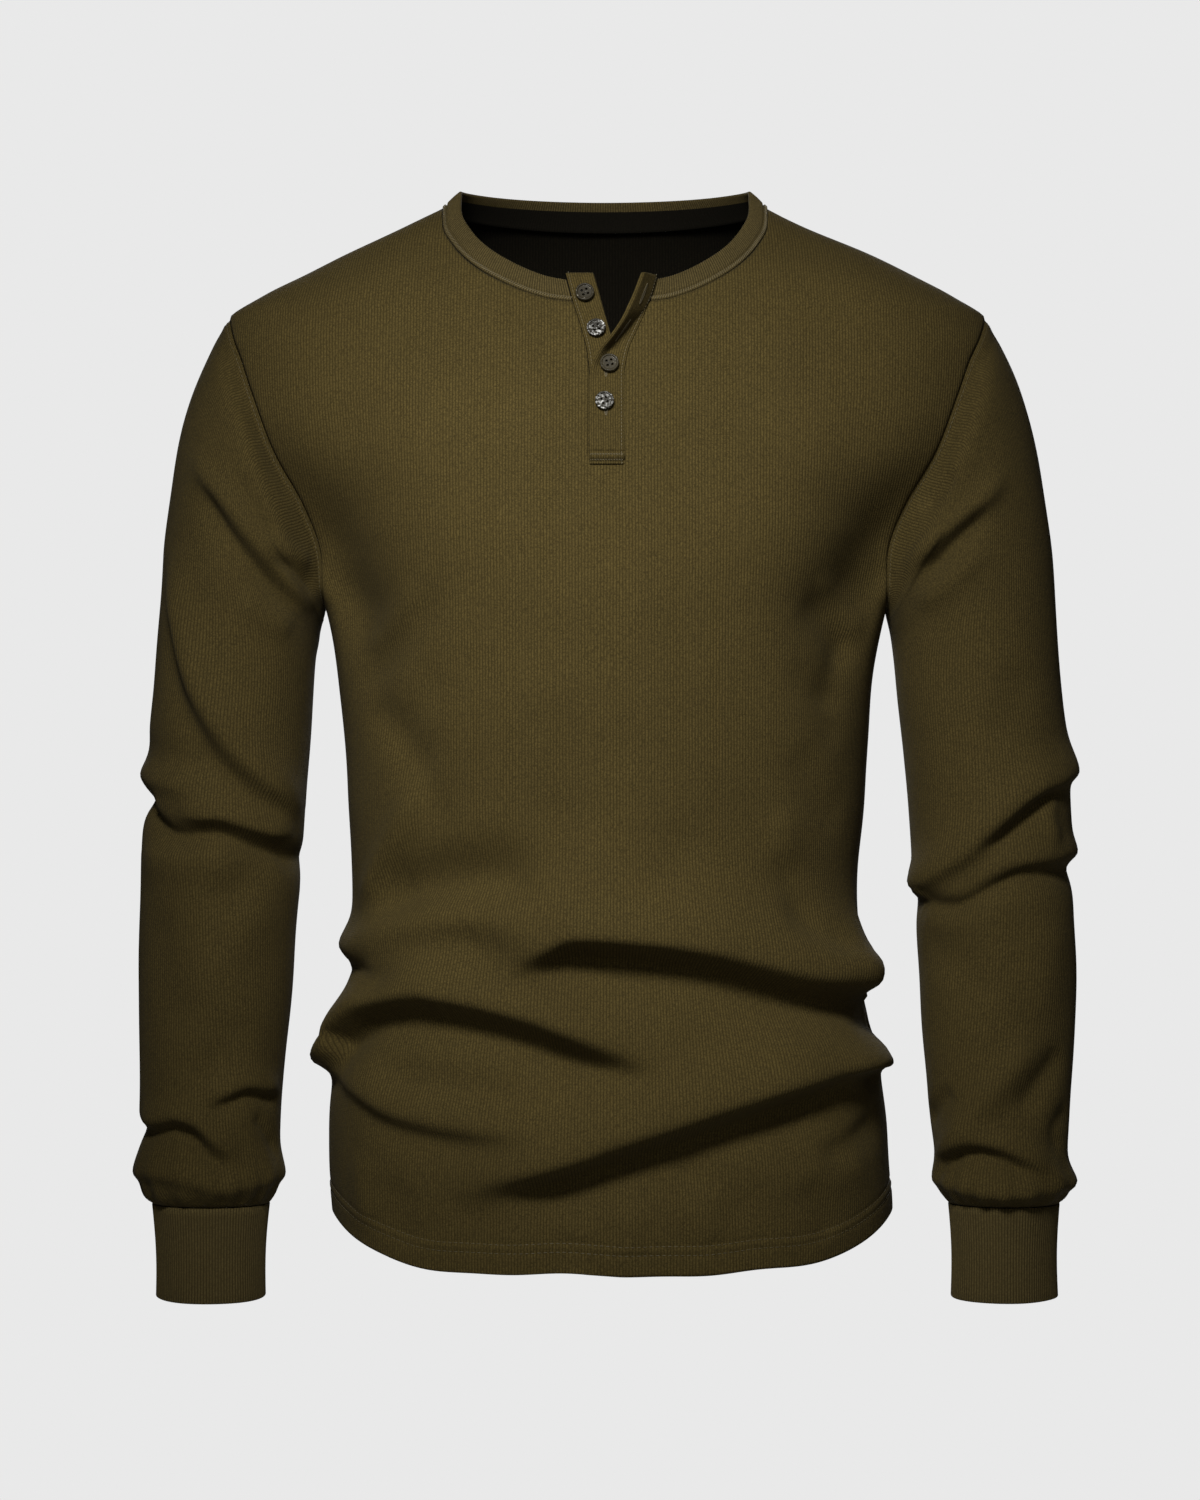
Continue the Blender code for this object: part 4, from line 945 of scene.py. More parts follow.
leftSleeve = dict(
    name="leftSleeve",
    side=1,
    rows=[
        dict(out=254, outDrop=78, inn=181, innDrop=252, mid=2, deep=63),
        dict(out=266, outDrop=106, inn=182, innDrop=256, mid=2, deep=63),
        dict(out=277, outDrop=148, inn=183, innDrop=261, mid=1, deep=61),
        dict(out=284, outDrop=196, inn=184, innDrop=268, mid=1, deep=59),
        dict(out=288, outDrop=240, inn=185, innDrop=279, mid=0, deep=58),
        dict(out=291, outDrop=286, inn=187, innDrop=303, mid=-1, deep=57),
        dict(out=295, outDrop=332, inn=191, innDrop=338, mid=-3, deep=56),
        dict(out=298, outDrop=384, inn=195, innDrop=388, mid=-7, deep=54),
        dict(out=299, outDrop=440, inn=198, innDrop=444, mid=-13, deep=51),
        dict(out=299, outDrop=500, inn=201, innDrop=500, mid=-20, deep=47),
        dict(out=295, outDrop=556, inn=205, innDrop=556, mid=-27, deep=44),
        dict(out=292, outDrop=596, inn=209, innDrop=594, mid=-32, deep=43),
        dict(out=292, outDrop=614, inn=210, innDrop=612, mid=-34, deep=42),
        dict(out=287, outDrop=621.6, inn=217, innDrop=621.6, mid=-35, deep=34),
    ],
    folds=[
        dict(path=[(188, 226), (200, 211), (218, 195), (239, 177), (252, 162)],
             above=7, below=6, height=5.5),
        dict(path=[(196, 228), (206, 219), (222, 202), (242, 184)],
             above=5, below=9, height=-5.5, power=1.6),
        dict(path=[(197, 186), (208, 174), (222, 162)], above=8, below=6, height=-4, power=1.7),
        dict(path=[(194, 246), (216, 232), (240, 208)], above=8, below=8, height=2.4),
        # the fold from the outside of the arm into the elbow
        dict(path=[(298, 10, 344), (286, 352), (270, 359), (254, 372), (234, 392), (213, 409), (196, 420),
                   (190, 0, 424)],
             above=15, below=8, height=8, hang=3, start=0.3, fade=0.25),
        dict(path=[(290, 357), (268, 371), (249, 387), (231, 401)], above=5, below=9, height=-7, power=1.5),
        dict(path=[(286, 362), (279, 376), (284, 397)], above=7, below=7, height=3.6),
        dict(path=[(298, 20, 398), (292, 400), (274, 402), (250, 408), (226, 424), (204, 428)],
             above=8, below=6, height=3.6, hang=2),
        dict(path=[(298, 10, 410), (280, 413), (261, 413), (240, 421), (220, 433), (198, 432),
                   (190, 0, 430)],
             above=6, below=11, height=-6, power=1.5, start=0.4, end=0.4),
        dict(path=[(196, 436), (216, 442), (240, 432), (262, 424)], above=7, below=14, height=3),
        dict(path=[(200, 452), (226, 474), (240, 500)], above=14, below=14, height=-2),
        dict(path=[(284, 440), (276, 480), (272, 510)], above=14, below=14, height=2),
        dict(path=[(262, 280), (254, 310), (240, 336)], above=14, below=14, height=-2.2),
        # bunched above the cuff
        dict(path=[(272, 516), (254, 536), (234, 560), (212, 584)], above=10, below=9, height=5, fade=0.3),
        dict(path=[(288, 522), (274, 542), (256, 564)], above=8, below=9, height=-4.5),
        dict(path=[(218, 548), (208, 562), (202, 574)], above=6, below=7, height=-3.4),
        dict(path=[(206, 592), (224, 580), (244, 581), (262, 589), (276, 597)],
             above=9, below=5, height=4.5, hang=2),
        dict(path=[(206, 600), (224, 588), (243, 589), (260, 597), (270, 602)],
             above=4, below=8, height=-5, power=1.5),
        dict(path=[(258, 578), (270, 592), (282, 602), (292, 0, 606)],
             above=8, below=6, height=3.6, hang=1.5, end=0.1),
        dict(path=[(292, 560), (282, 574), (286, 590)], above=7, below=7, height=-3),
        dict(path=[(296, 0, 606), (280, 607), (250, 610), (220, 606), (204, 0, 600)],
             above=9, below=6, height=4, hang=3, start=0.1, end=0.5),
        # behind
        dict(path=[(270, 50, 170), (236, 62, 210), (200, 50, 246)], above=12, below=9, height=-5),
        dict(path=[(262, 60, 150), (226, 66, 190), (192, 50, 228)], above=10, below=9, height=4),
        dict(path=[(292, 30, 320), (250, 58, 344), (206, 50, 362)], above=14, below=10, height=6, hang=2),
        dict(path=[(296, 30, 372), (250, 52, 380), (200, 40, 396)], above=7, below=10, height=-5),
        dict(path=[(296, 30, 402), (250, 46, 412), (200, 40, 424)], above=10, below=9, height=5, hang=2),
        dict(path=[(292, 20, 480), (250, 30, 508), (210, 20, 524)], above=14, below=12, height=-2.4),
        dict(path=[(292, 0, 560), (250, 16, 570), (206, 0, 566)], above=9, below=8, height=4, hang=2),
        dict(path=[(292, 0, 584), (250, 12, 590), (206, 0, 584)], above=6, below=8, height=-4),
    ],
)
sleeveRows = 186
gathers = dict(height=1.0, reach=26, count=17)  # small tucks where the sleeve meets its cuff


def armholeLoop(side):  # down the front from the shoulder point and up the back, and the way out of it
    front, back = armholeEdge(side, -1), armholeEdge(side, 1)[::-1][1:-1]
    frontSpots, frontOut = clothPoints(front[:, 0], front[:, 1], -1)
    backSpots, backOut = clothPoints(back[:, 0], back[:, 1], 1)
    loop = np.vstack([frontSpots, backSpots])
    out = np.vstack([frontOut, backOut])
    run = np.roll(loop, -1, axis=0) - np.roll(loop, 1, axis=0)
    away = np.cross(out, run) * side
    away = np.roll(away, 1, axis=0) + 2 * away + np.roll(away, -1, axis=0)
    away /= np.linalg.norm(away, axis=1, keepdims=True)
    return loop, away


def sleeveRings(side, rows):
    loop, away = armholeLoop(side)
    height = (loop[:, 2] - loop[:, 2].min()) / (loop[:, 2].max() - loop[:, 2].min())
    strip = 2 + 3 * height
    rings = [loop + away * strip[:, None]]
    turn = np.linspace(0, 2 * math.pi, len(loop), endpoint=False)[:, None]
    for row in rows:
        outer = np.array([side * row["out"], row["mid"], -row["outDrop"]])
        inner = np.array([side * row["inn"], row["mid"], -row["innDrop"]])
        deep = forward * row["deep"]
        rings.append((outer + inner) / 2 + (outer - inner) / 2 * np.cos(turn) + deep * np.sin(turn))
    dense = smoothRows(rings, 420)
    run = edgeRun(dense, 0).mean(axis=1)
    at = np.linspace(0, run[-1], sleeveRows)
    low = np.clip(np.searchsorted(run, at, side="right") - 1, 0, len(run) - 2)
    t = ((at - run[low]) / (run[low + 1] - run[low]))[:, None, None]
    even = dense[low] * (1 - t) + dense[low + 1] * t
    return np.concatenate([[loop + away * form["seamGap"]], even])


def makeSleeve(spec):
    side = spec["side"]
    rings = sleeveRings(side, spec["rows"])
    out = gridNormals(rings, closed=True)
    out *= np.sign(((rings - rings.mean(axis=1, keepdims=True)) * out).sum())
    cloud = rings[3:].reshape(-1, 3)
    folded = raiseFolds(rings, out, spec["folds"], cloud)
    folded = folded + out * unevenness(rings, 0.7, seed=11 + side, shortest=35, longest=120)[..., None]
    start, end = edgeRun(rings, 0), edgeRun(rings, 0, fromEnd=True)
    hold = smoothStep(start / 14) * smoothStep(end / 5)
    turn = np.linspace(0, 2 * math.pi, rings.shape[1], endpoint=False)[None]
    tuck = np.sin(gathers["count"] * turn + 1.3 * np.sin(3 * turn)) * np.exp(-((end / gathers["reach"]) ** 2))
    tuck = tuck * gathers["height"] * smoothStep(end / 4)
    cloth = rings + (folded - rings) * hold[..., None] + out * (tuck + seamDip(start))[..., None]
    # the grain runs down the outside of the arm, and the seam is inside it
    columns = rings.shape[1]
    around = np.linalg.norm(np.roll(rings, -1, axis=1) - rings, axis=-1)
    half = columns // 2
    ahead = np.concatenate([np.zeros((len(rings), 1)), np.cumsum(around[:, :half], axis=1)], axis=1)
    behind = -np.flip(np.cumsum(np.flip(around[:, half:], axis=1), axis=1), axis=1)
    behind = np.concatenate([behind, np.zeros((len(rings), 1))], axis=1)
    down = -start.mean(axis=1, keepdims=True)
    frontUv = gridUvs(np.stack([ahead, down + 0 * ahead], axis=-1)).reshape(len(rings) - 1, half, 4, 2)
    backUv = gridUvs(np.stack([behind, down + 0 * behind], axis=-1)).reshape(len(rings) - 1, half, 4, 2)
    uvs = np.concatenate([frontUv, backUv], axis=1).reshape(-1, 2)
    faces = gridFaces(len(cloth), columns, closed=True)
    thing = newMesh(spec["name"], cloth.reshape(-1, 3), faces, uvs, cloth.mean(axis=1))
    paint(thing, sleeveKnitPaintedShade)
    addWall(thing, form["wall"], innerKnitPaintedShade)
    return thing, (cloth, out, start)


rightSleevePiece, rightCloth = makeSleeve(rightSleeve)
leftSleevePiece, leftCloth = makeSleeve(leftSleeve)

foldTurns = np.linspace(0, math.pi, 7)[1:-1]  # the round edge where ribbing is folded double
cuff = dict(topDrop=622.35, foldDrop=681, wall=2.2, pitch=1.95, ribHeight=0.42, taper=0.05, waist=1.2)


def ribWave(run, pitch):  # rounded ribs with narrow valleys, from -0.6 to 0.4
    return np.abs(np.sin(math.pi * run / pitch)) ** 0.7 - 0.6


def makeCuff(name, side, row, seed):
    wide, deep = (row["out"] - row["inn"]) / 2, row["deep"]
    middle = np.array([side * (row["out"] + row["inn"]) / 2, row["mid"], 0.0])
    rim = math.pi * (3 * (wide + deep) - math.sqrt((3 * wide + deep) * (wide + 3 * deep)))
    ribs = int(rim / cuff["pitch"])
    turn = np.linspace(0, 2 * math.pi, ribs * 6, endpoint=False)
    ring = np.stack([wide * np.cos(turn), -deep * np.sin(turn), 0 * turn], axis=-1)
    out = np.stack([np.cos(turn) / wide, -np.sin(turn) / deep, 0 * turn], axis=-1)
    out /= np.linalg.norm(out, axis=1, keepdims=True)
    length = np.linalg.norm(np.roll(ring, -1, axis=0) - ring, axis=1)
    run = (np.cumsum(length) - length) / length.sum() * ribs * cuff["pitch"]
    radius = cuff["wall"] / 2
    foot = cuff["foldDrop"] - radius
    profile = [(0.0, d) for d in np.linspace(cuff["topDrop"], foot, 13)]
    profile += [(radius * (math.cos(a) - 1), foot + radius * math.sin(a)) for a in foldTurns]
    profile += [(-cuff["wall"], d) for d in np.linspace(foot, cuff["topDrop"], 9)]
    rng = np.random.default_rng(seed)
    shift = rng.uniform(0, 6.28, 3)
    rows, weave, travel, last = [], [], 0.0, profile[0]
    for offset, drop in profile:
        down = (drop - cuff["topDrop"]) / (cuff["foldDrop"] - cuff["topDrop"])
        travel += math.hypot(offset - last[0], drop - last[1])
        last = (offset, drop)
        size = 1 - cuff["taper"] * down - cuff["waist"] / wide * math.sin(math.pi * down)
        wave = 0.7 * np.sin(2 * turn + shift[0]) * down + 0.35 * np.sin(5 * turn + shift[1]) * down
        ribbed = cuff["ribHeight"] * ribWave(run, cuff["pitch"]) * (1 if offset > -1.5 else -0.6)
        lay = offset + wave + ribbed
        lower = 0.8 * math.sin(math.pi * down) * np.sin(turn + shift[2]) + 1.3 * down * np.sin(turn)
        rows.append(ring * size + out * lay[:, None] + middle - up * (drop + lower)[:, None])
        around = np.append(run, ribs * cuff["pitch"])
        weave.append(np.stack([around, 0 * around - travel], axis=-1))
    points = np.array(rows)
    faces = gridFaces(len(rows), len(turn), closed=True)
    columns, final = len(turn), (len(rows) - 1) * len(turn)
    faces += [(final + i, i, (i + 1) % columns, final + (i + 1) % columns) for i in range(columns)]
    uvs = gridUvs(np.array(weave))
    uvs = np.vstack([uvs, np.tile(uvs[:4], (columns, 1))])
    return paint(newMesh(name, points.reshape(-1, 3), faces, uvs), cuffKnit)


rightCuff = makeCuff("rightCuff", -1, rightSleeve["rows"][-1], 21)
leftCuff = makeCuff("leftCuff", 1, leftSleeve["rows"][-1], 22)

print("neckband and plackets")

neckband = dict(
    height=16,
    lean=dict(front=65, side=43, back=78),
    skew=6.4,
    skewReach=25,
    wall=2.2,
    pitch=1.75,
    ribHeight=0.4,
    crown=0.35,
    strip=3.5,  # the lower part, held down by the cover stitch
    stripGroove=1.0,
    softened=6,  # how far the free edge rounds off the corners of the seam
)


def neckSeam():
    slitTop = necklineTable[-1]["drop"]
    columns = panel["neckColumns"]
    right = frontNeckEdge(-1, float(readTable(slitTable, "drop", "stand", slitTop)), columns)[::-1]
    left = frontNeckEdge(1, float(readTable(slitTable, "drop", "edge", slitTop)), columns)
    back = backNeckEdge(2 * columns)
    line = np.vstack([
        torso(right[:, 0], right[:, 1], -1),
        torso(back[1:-1, 0], back[1:-1, 1], 1),
        torso(left[:, 0], left[:, 1], -1),
    ])
    overSeam = float(readTable(slitTable, "drop", "overSeam", slitTop))
    for end, after, stop in ((0, 1, line[0, 0] - form["seamGap"]), (-1, -2, overSeam + form["seamGap"])):
        line[end] += (line[after] - line[end]) * (stop - line[end, 0]) / (line[after, 0] - line[end, 0])
    return line


def soften(rows, reach):  # a running average along a line, its two ends kept
    half = int(2.4 * reach)
    window = np.exp(-((np.arange(-half, half + 1) / reach) ** 2))
    start = 2 * rows[0] - rows[half:0:-1]
    end = 2 * rows[-1] - rows[-2:-half - 2:-1]
    padded = np.vstack([start, rows, end])
    window = window / window.sum()
    return np.stack([np.convolve(padded[:, k], window, mode="valid") for k in range(3)], axis=-1)


def makeNeckband():
    line = neckSeam()
    step = np.linalg.norm(np.diff(line, axis=0), axis=1)
    run = np.concatenate([[0], np.cumsum(step)])
    ribs = int(run[-1] / neckband["pitch"])
    at = np.linspace(0, run[-1], ribs * 6 + 1)
    line = np.stack([np.interp(at, run, line[:, k]) for k in range(3)], axis=-1)
    for _ in range(30):
        line[1:-1] = (line[:-2] + 2 * line[1:-1] + line[2:]) / 4
    inward = -line * np.array([1, 1, 0])
    inward /= np.linalg.norm(inward, axis=1, keepdims=True)
    facing = inward[:, 1]
    lean = neckband["lean"]
    straight = np.where(facing > 0, lean["front"], lean["back"])
    lean = np.radians(lean["side"] + (straight - lean["side"]) * facing**2)[:, None]
    rise = inward * np.cos(lean) + up * np.sin(lean)
    for end, way in ((0, -1), (-1, 1)):
        reach = np.linalg.norm(line - line[end], axis=1)
        rise[:, 0] += way * neckband["skew"] / neckband["height"] * np.exp(-reach / neckband["skewReach"])
    rise = soften(rise, 75)
    rise /= np.linalg.norm(rise, axis=1, keepdims=True)
    along = np.gradient(line, axis=0)
    out = np.cross(along, rise)
    out /= np.linalg.norm(out, axis=1, keepdims=True)
    out *= np.sign((out * -inward).sum(axis=1) + 0.5 * out[:, 2])[:, None]
    wave = ribWave(at, neckband["pitch"]) * neckband["ribHeight"]
    wall, tall = neckband["wall"], neckband["height"]
    radius = wall / 2
    profile = [(0.1, -1.1), (0.15, -0.3)]
    heights = (0.5, 1.0, 1.7, 2.5, 3.1, 3.5, 4.0, 4.8, 6.0, 7.4, 8.8, 10.2, 11.6, 13.2, tall - radius)
    profile += [(h, 0.0) for h in heights]
    profile += [(tall - radius + radius * math.sin(a), radius * (math.cos(a) - 1)) for a in foldTurns]
    profile += [(h, -wall) for h in (tall - radius, 12.5, 10, 7, 4, 1.5, 0)]
    # the inner turn, which covers the seam
    profile += [(-2, -wall - 0.2), (-3.8, -wall - 0.2), (-4, -wall)]
    profile += [(-3.8, -wall + 0.3), (-1, -wall + 0.35), (0.2, -wall + 0.5)]
    rows, weave, travel, last = [], [], 0.0, profile[0]
    for h, t in profile:
        travel += math.hypot(h - last[0], t - last[1])
        last = (h, t)
        aboveStrip = min(1, max(0, (h - neckband["strip"]) / (tall - neckband["strip"])))
        crown = neckband["crown"] * math.sin(math.pi * aboveStrip)
        groove = -neckband["stripGroove"] * math.exp(-(((h - neckband["strip"]) / 0.55) ** 2))
        raised = 0.5 * math.exp(-(((h - 1.7) / 1.3) ** 2))
        ribbed = wave * (1.0 if h > neckband["strip"] + 0.3 else 0.25)
        lay = t + (crown + groove + raised + ribbed if t > -1.2 else -0.6 * wave)
        base = line + rise * h
        base = base + (soften(base, neckband["softened"] / (at[1] - at[0])) - base) * smoothStep(h / tall)
        rows.append(base + out * lay[:, None])
        weave.append(np.stack([at, 0 * at + travel], axis=-1))
    points = np.array(rows)
    columns = points.shape[1]
    faces = gridFaces(len(rows), columns)
    final = (len(rows) - 1) * columns
    faces += [(final + i, i, i + 1, final + i + 1) for i in range(columns - 1)]
    ends = [[j * columns + i for j in range(len(rows))] for i in (0, columns - 1)]
    faces += ends
    uvs = gridUvs(np.array(weave))
    spare = 4 * (columns - 1) + sum(len(e) for e in ends)
    uvs = np.vstack([uvs, np.tile([[0.0, 0.0]], (spare, 1))])
    thing = paint(newMesh("neckbandPiece", points.reshape(-1, 3), faces, uvs), bandKnit)
    # the band's inner faces take the knit painted dark as shade
    thing.data.materials.append(innerTrimPaintedShade)
    outer = 1 + sum(1 for h, t in profile if t > -1.9)
    for number in range(outer * (columns - 1), (len(rows) - 1) * (columns - 1)):
        thing.data.polygons[number].material_index = 1
    return thing, (line + rise * 1.8 + out * 0.4, out, line, rise)


neckbandPiece, neckLine = makeNeckband()

placket = dict(
    top=38,
    overTop=41,
    underFoot=155,
    overFoot=160,
    width=21.5,
    wall=1.3,
    lay=0.5,
    rowStep=0.95,
    stitchIn=1.7,
    barTop=153.4,
    barFoot=158.4,
    barHeight=2.0,
    barRims=1.6,
)

# the open top of the buttonhole side turns forward: by how much, and from how far across it
overCurl = [
    dict(drop=36, degrees=66, start=-0.16),
    dict(drop=48, degrees=62, start=-0.16),
    dict(drop=60, degrees=60, start=-0.1),
    dict(drop=72, degrees=68, start=0.1),
    dict(drop=82, degrees=70, start=0.3),
    dict(drop=92, degrees=54, start=0.5),
    dict(drop=102, degrees=20, start=0.58),
    dict(drop=112, degrees=0, start=0.55),
    dict(drop=170, degrees=0, start=0.55),
]


def overPlacket(width, drop):
    degrees = math.radians(float(readTable(overCurl, "drop", "degrees", drop)))
    start = float(readTable(overCurl, "drop", "start", drop))
    steps = np.linspace(0, 1, 61)
    angle = degrees * (smoothStep((steps - start) / 0.16) - 0.8 * smoothStep((steps - 0.84) / 0.1))
    middle = (angle[1:] + angle[:-1]) / 2
    travel = np.concatenate([[0], np.cumsum(np.cos(middle))]) * placket["width"] / 60
    rise = np.concatenate([[0], np.cumsum(np.sin(middle))]) * placket["width"] / 60
    side = readTable(slitTable, "drop", "overSeam", drop) - np.interp(width, steps, travel)
    drop = drop + 0 * side
    laid = torso(side, drop, -1) + torsoNormals(side, drop, -1) * (placket["lay"] + placket["wall"])
    return laid + forward * np.interp(width, steps, rise)[..., None]


def placketDip(run, other, low, stitched, seamed):  # at the stitches and the seam, and at the edges
    dip = -stitched * np.exp(-(((run - placket["stitchIn"]) / 0.6) ** 2))
    dip = dip - seamed * np.exp(-((run / 0.8) ** 2))
    return dip - 0.35 * np.exp(-((other / 0.7) ** 2)) - 0.35 * np.exp(-((low / 0.8) ** 2))


def makePlacketUnder():
    drop = np.arange(placket["top"], placket["underFoot"] + 0.1, placket["rowStep"])[:, None]
    across = np.linspace(0, 1, 19)[None]
    seamSide = readTable(slitTable, "drop", "stand", drop) + form["seamGap"]
    freeSide = readTable(slitTable, "drop", "standFree", drop)
    side = seamSide + (freeSide - seamSide) * across
    out = torsoNormals(side, drop + 0 * side, -1)
    points = torso(side, drop + 0 * side, -1) + forward * form["seamGap"] / 2
    run = edgeRun(points, 1)
    other = edgeRun(points, 1, fromEnd=True)
    low = edgeRun(points, 0)
    dip = placketDip(run, other, low, stitched=0.28, seamed=0.5)
    points = points + out * (dip + unevenness(points, 0.2, seed=31, shortest=12, longest=40))[..., None]
    uv = np.stack([side - side[:, :1], -drop + 0 * side], axis=-1)
    thing = newMesh("buttonStand", points.reshape(-1, 3), gridFaces(*points.shape[:2]), gridUvs(uv),
                    torsoAxis)
    addWall(thing, placket["wall"])
    return paint(thing, placketKnit), (points, out, run)


def makePlacketOver():
    drop = np.arange(placket["overTop"], placket["overFoot"] + 0.1, placket["rowStep"])
    across = np.linspace(0, 1, 41)
    points = np.array([overPlacket(across, d) for d in drop])
    out = gridNormals(points)
    out *= -np.sign(out[-1, :, 1].sum())
    run, other = edgeRun(points, 1), edgeRun(points, 1, fromEnd=True)
    low = edgeRun(points, 0)
    dip = placketDip(run, other, low, stitched=0.3, seamed=0.55)
    level = drop[:, None] + 0 * run
    pastTop, pastFoot = level - placket["barTop"], level - placket["barFoot"]
    bar = smoothStep(pastTop / 1.2) * smoothStep(-pastFoot / 1.2)
    rims = np.exp(-((pastTop / 0.95) ** 2)) + np.exp(-((pastFoot / 0.8) ** 2))
    dip = dip + placket["barHeight"] * bar - placket["barRims"] * rims
    points = points + out * (dip + unevenness(points, 0.22, seed=33, shortest=12, longest=40))[..., None]
    uv = np.stack([run, -level], axis=-1)
    thing = newMesh("buttonholeSide", points.reshape(-1, 3), gridFaces(*points.shape[:2]), gridUvs(uv),
                    torsoAxis)
    addWall(thing, placket["wall"])
    return paint(thing, placketKnit), (points, out, run)


buttonStand, standCloth = makePlacketUnder()
buttonholeSide, overCloth = makePlacketOver()

print("buttons")

# the pale streak colours are the horn's own, and on the second and fourth buttons they are raised near white
# as painted highlight
buttonSpecs = [
    dict(name="firstButton", node="button_1", side=-12.6, drop=52, on="under", turn=0.35,
         base=(0.026, 0.021, 0.011), streakAndHighlight=(0.42, 0.39, 0.30), amount=0.03),
    dict(name="secondButton", node="button_2", side=-5.6, drop=75, on="under", turn=0.30,
         base=(0.022, 0.019, 0.013), streakAndHighlight=(0.85, 0.84, 0.79), amount=0.10),
    dict(name="thirdButton", node="button_3", side=2.6, drop=98, on="over", turn=0.25,
         base=(0.032, 0.026, 0.013), streakAndHighlight=(0.20, 0.18, 0.12), amount=0.03),
    dict(name="fourthButton", node="button_4", side=-0.4, drop=122, on="over", turn=0.38,
         base=(0.024, 0.021, 0.014), streakAndHighlight=(0.85, 0.84, 0.79), amount=0.11),
]
button = dict(radius=5.9, thick=2.6, rim=1.15, dish=0.85, hole=0.85, holeOut=2.1, lift=1.0, around=96)


def overButton(row):
    side, drop = row["side"], row["drop"]
    if row["on"] == "under":
        return torso(side, drop, -1) + forward * form["seamGap"] / 2, torsoNormals(side, drop, -1)
    seamSide = float(readTable(slitTable, "drop", "overSeam", drop))
    return placketSpot((seamSide - side) / placket["width"], drop)


def placketSpot(width, drop):
    here = overPlacket(width, drop)
    down = overPlacket(width, drop + 1)
    across = overPlacket(width - 0.05, drop)
    out = np.cross(down - here, across - here)
    out /= np.linalg.norm(out)
    return here, out * -np.sign(out[1])


def buttonProfile():
    r, thick, rim, dish = button["radius"], button["thick"], button["rim"], button["dish"]
    found = [(0, thick - dish - 0.05), (r - rim - 1.5, thick - dish), (r - rim - 0.75, thick - dish + 0.06)]
    found += [(r - rim - 0.35 + 0.35 * math.sin(a), thick - dish + 0.06 + (dish - 0.2) * (1 - math.cos(a)))
              for a in np.linspace(0.3, math.pi / 2, 6)]
    crest = thick - 0.14
    half = rim / 2 + 0.02
    found += [(r - half - half * math.cos(a), crest + 0.14 * math.sin(a))
              for a in np.linspace(0.15, math.pi / 2, 6)]
    found += [(r - half + half * math.sin(a), thick - half * 1.5 * (1 - math.cos(a)))
              for a in np.linspace(0.2, math.pi / 2, 8)]
    found += [(r, thick * 0.42), (r - 0.12, thick * 0.3), (r - 0.5, thick * 0.17)]
    return found + [(r * 0.8, 0.1), (r * 0.7, 0.0), (0, 0.0)]


def makeButton(row, horns):
    bm = bmesh.new()
    profile = buttonProfile()
    corners = [bm.verts.new((x * mm, 0, z * mm)) for x, z in profile]
    edges = [bm.edges.new(pair) for pair in zip(corners[:-1], corners[1:])]
    bmesh.ops.spin(bm, geom=corners + edges, cent=(0, 0, 0), axis=(0, 0, 1), angle=2 * math.pi,
                   steps=button["around"], use_merge=True)
    bmesh.ops.remove_doubles(bm, verts=bm.verts, dist=0.003 * mm)
    bmesh.ops.recalc_face_normals(bm, faces=bm.faces)
    mesh = bpy.data.meshes.new(row["name"])
    bm.to_mesh(mesh)
    bm.free()
    thing = bpy.data.objects.new(row["name"], mesh)
    bpy.context.scene.collection.objects.link(thing)
    cutters = bmesh.new()
    holes = []
    for k in range(4):
        angle = row["turn"] + math.pi / 4 + k * math.pi / 2
        spot = Vector((math.cos(angle), math.sin(angle), 0)) * button["holeOut"]
        holes.append(spot)
        made = bmesh.ops.create_cone(cutters, cap_ends=True, segments=24, radius1=button["hole"] * mm,
                                     radius2=button["hole"] * mm, depth=8 * mm)
        bmesh.ops.translate(cutters, verts=made["verts"], vec=spot * mm)
    cutMesh = bpy.data.meshes.new("holes")
    cutters.to_mesh(cutMesh)
    cutters.free()
    cutter = bpy.data.objects.new("holes", cutMesh)
    bpy.context.scene.collection.objects.link(cutter)
    cut = thing.modifiers.new("holes", "BOOLEAN")
    cut.operation = "DIFFERENCE"
    cut.solver = "EXACT"
    cut.object = cutter
    applied(thing)
    bpy.data.objects.remove(cutter, do_unlink=True)
    for face in thing.data.polygons:
        face.use_smooth = True
    thing.data.set_sharp_from_angle(angle=0.7)
    centre, out = overButton(row)
    turn = Vector(out).to_track_quat("Z", "X").to_matrix().to_4x4()
    place = Matrix.Translation(Vector((centre + out * button["lift"]) * mm)) @ turn
    thing.data.transform(place)
    paint(thing, horns)
    # two threads cross between the holes, and hang a little in the dish
    ties = []
    for a, b in ((0, 2), (1, 3)):
        lift = button["thick"] - button["dish"] + (0.18 if a else 0.0)
        ends = [holes[a] * 0.98, holes[b] * 0.98]
        line = []
        for t in np.linspace(0, 1, 15):
            spot = ends[0].lerp(ends[1], t)
            high = lift + 0.16 - 1.5 * max(0, abs(2 * t - 1) - 0.82) / 0.18
            line.append(place @ (Vector((spot.x, spot.y, high)) * mm))
        ties.append(np.array([tuple(p) for p in line]) / mm)
    return thing, ties


def tube(name, lines, radius, material, sides=8):  # plain round tubes along lines of points
    points, faces = [], []
    for line in lines:
        run = np.gradient(line, axis=0)
        run /= np.linalg.norm(run, axis=1, keepdims=True)
        guide = np.array([0.31, 0.2, 0.93])
        first = np.cross(run, guide)
        first /= np.linalg.norm(first, axis=1, keepdims=True)
        second = np.cross(run, first)
        turn = np.linspace(0, 2 * math.pi, sides, endpoint=False)
        start = len(points)
        for spot, a, b in zip(line, first, second):
            points += [spot + radius * (a * math.cos(t) + b * math.sin(t)) for t in turn]
        faces += gridFaces(len(line), sides, start, closed=True)
        faces.append(list(range(start, start + sides)))
        faces.append(list(range(len(points) - sides, len(points))))
    return paint(newMesh(name, points, faces), material)


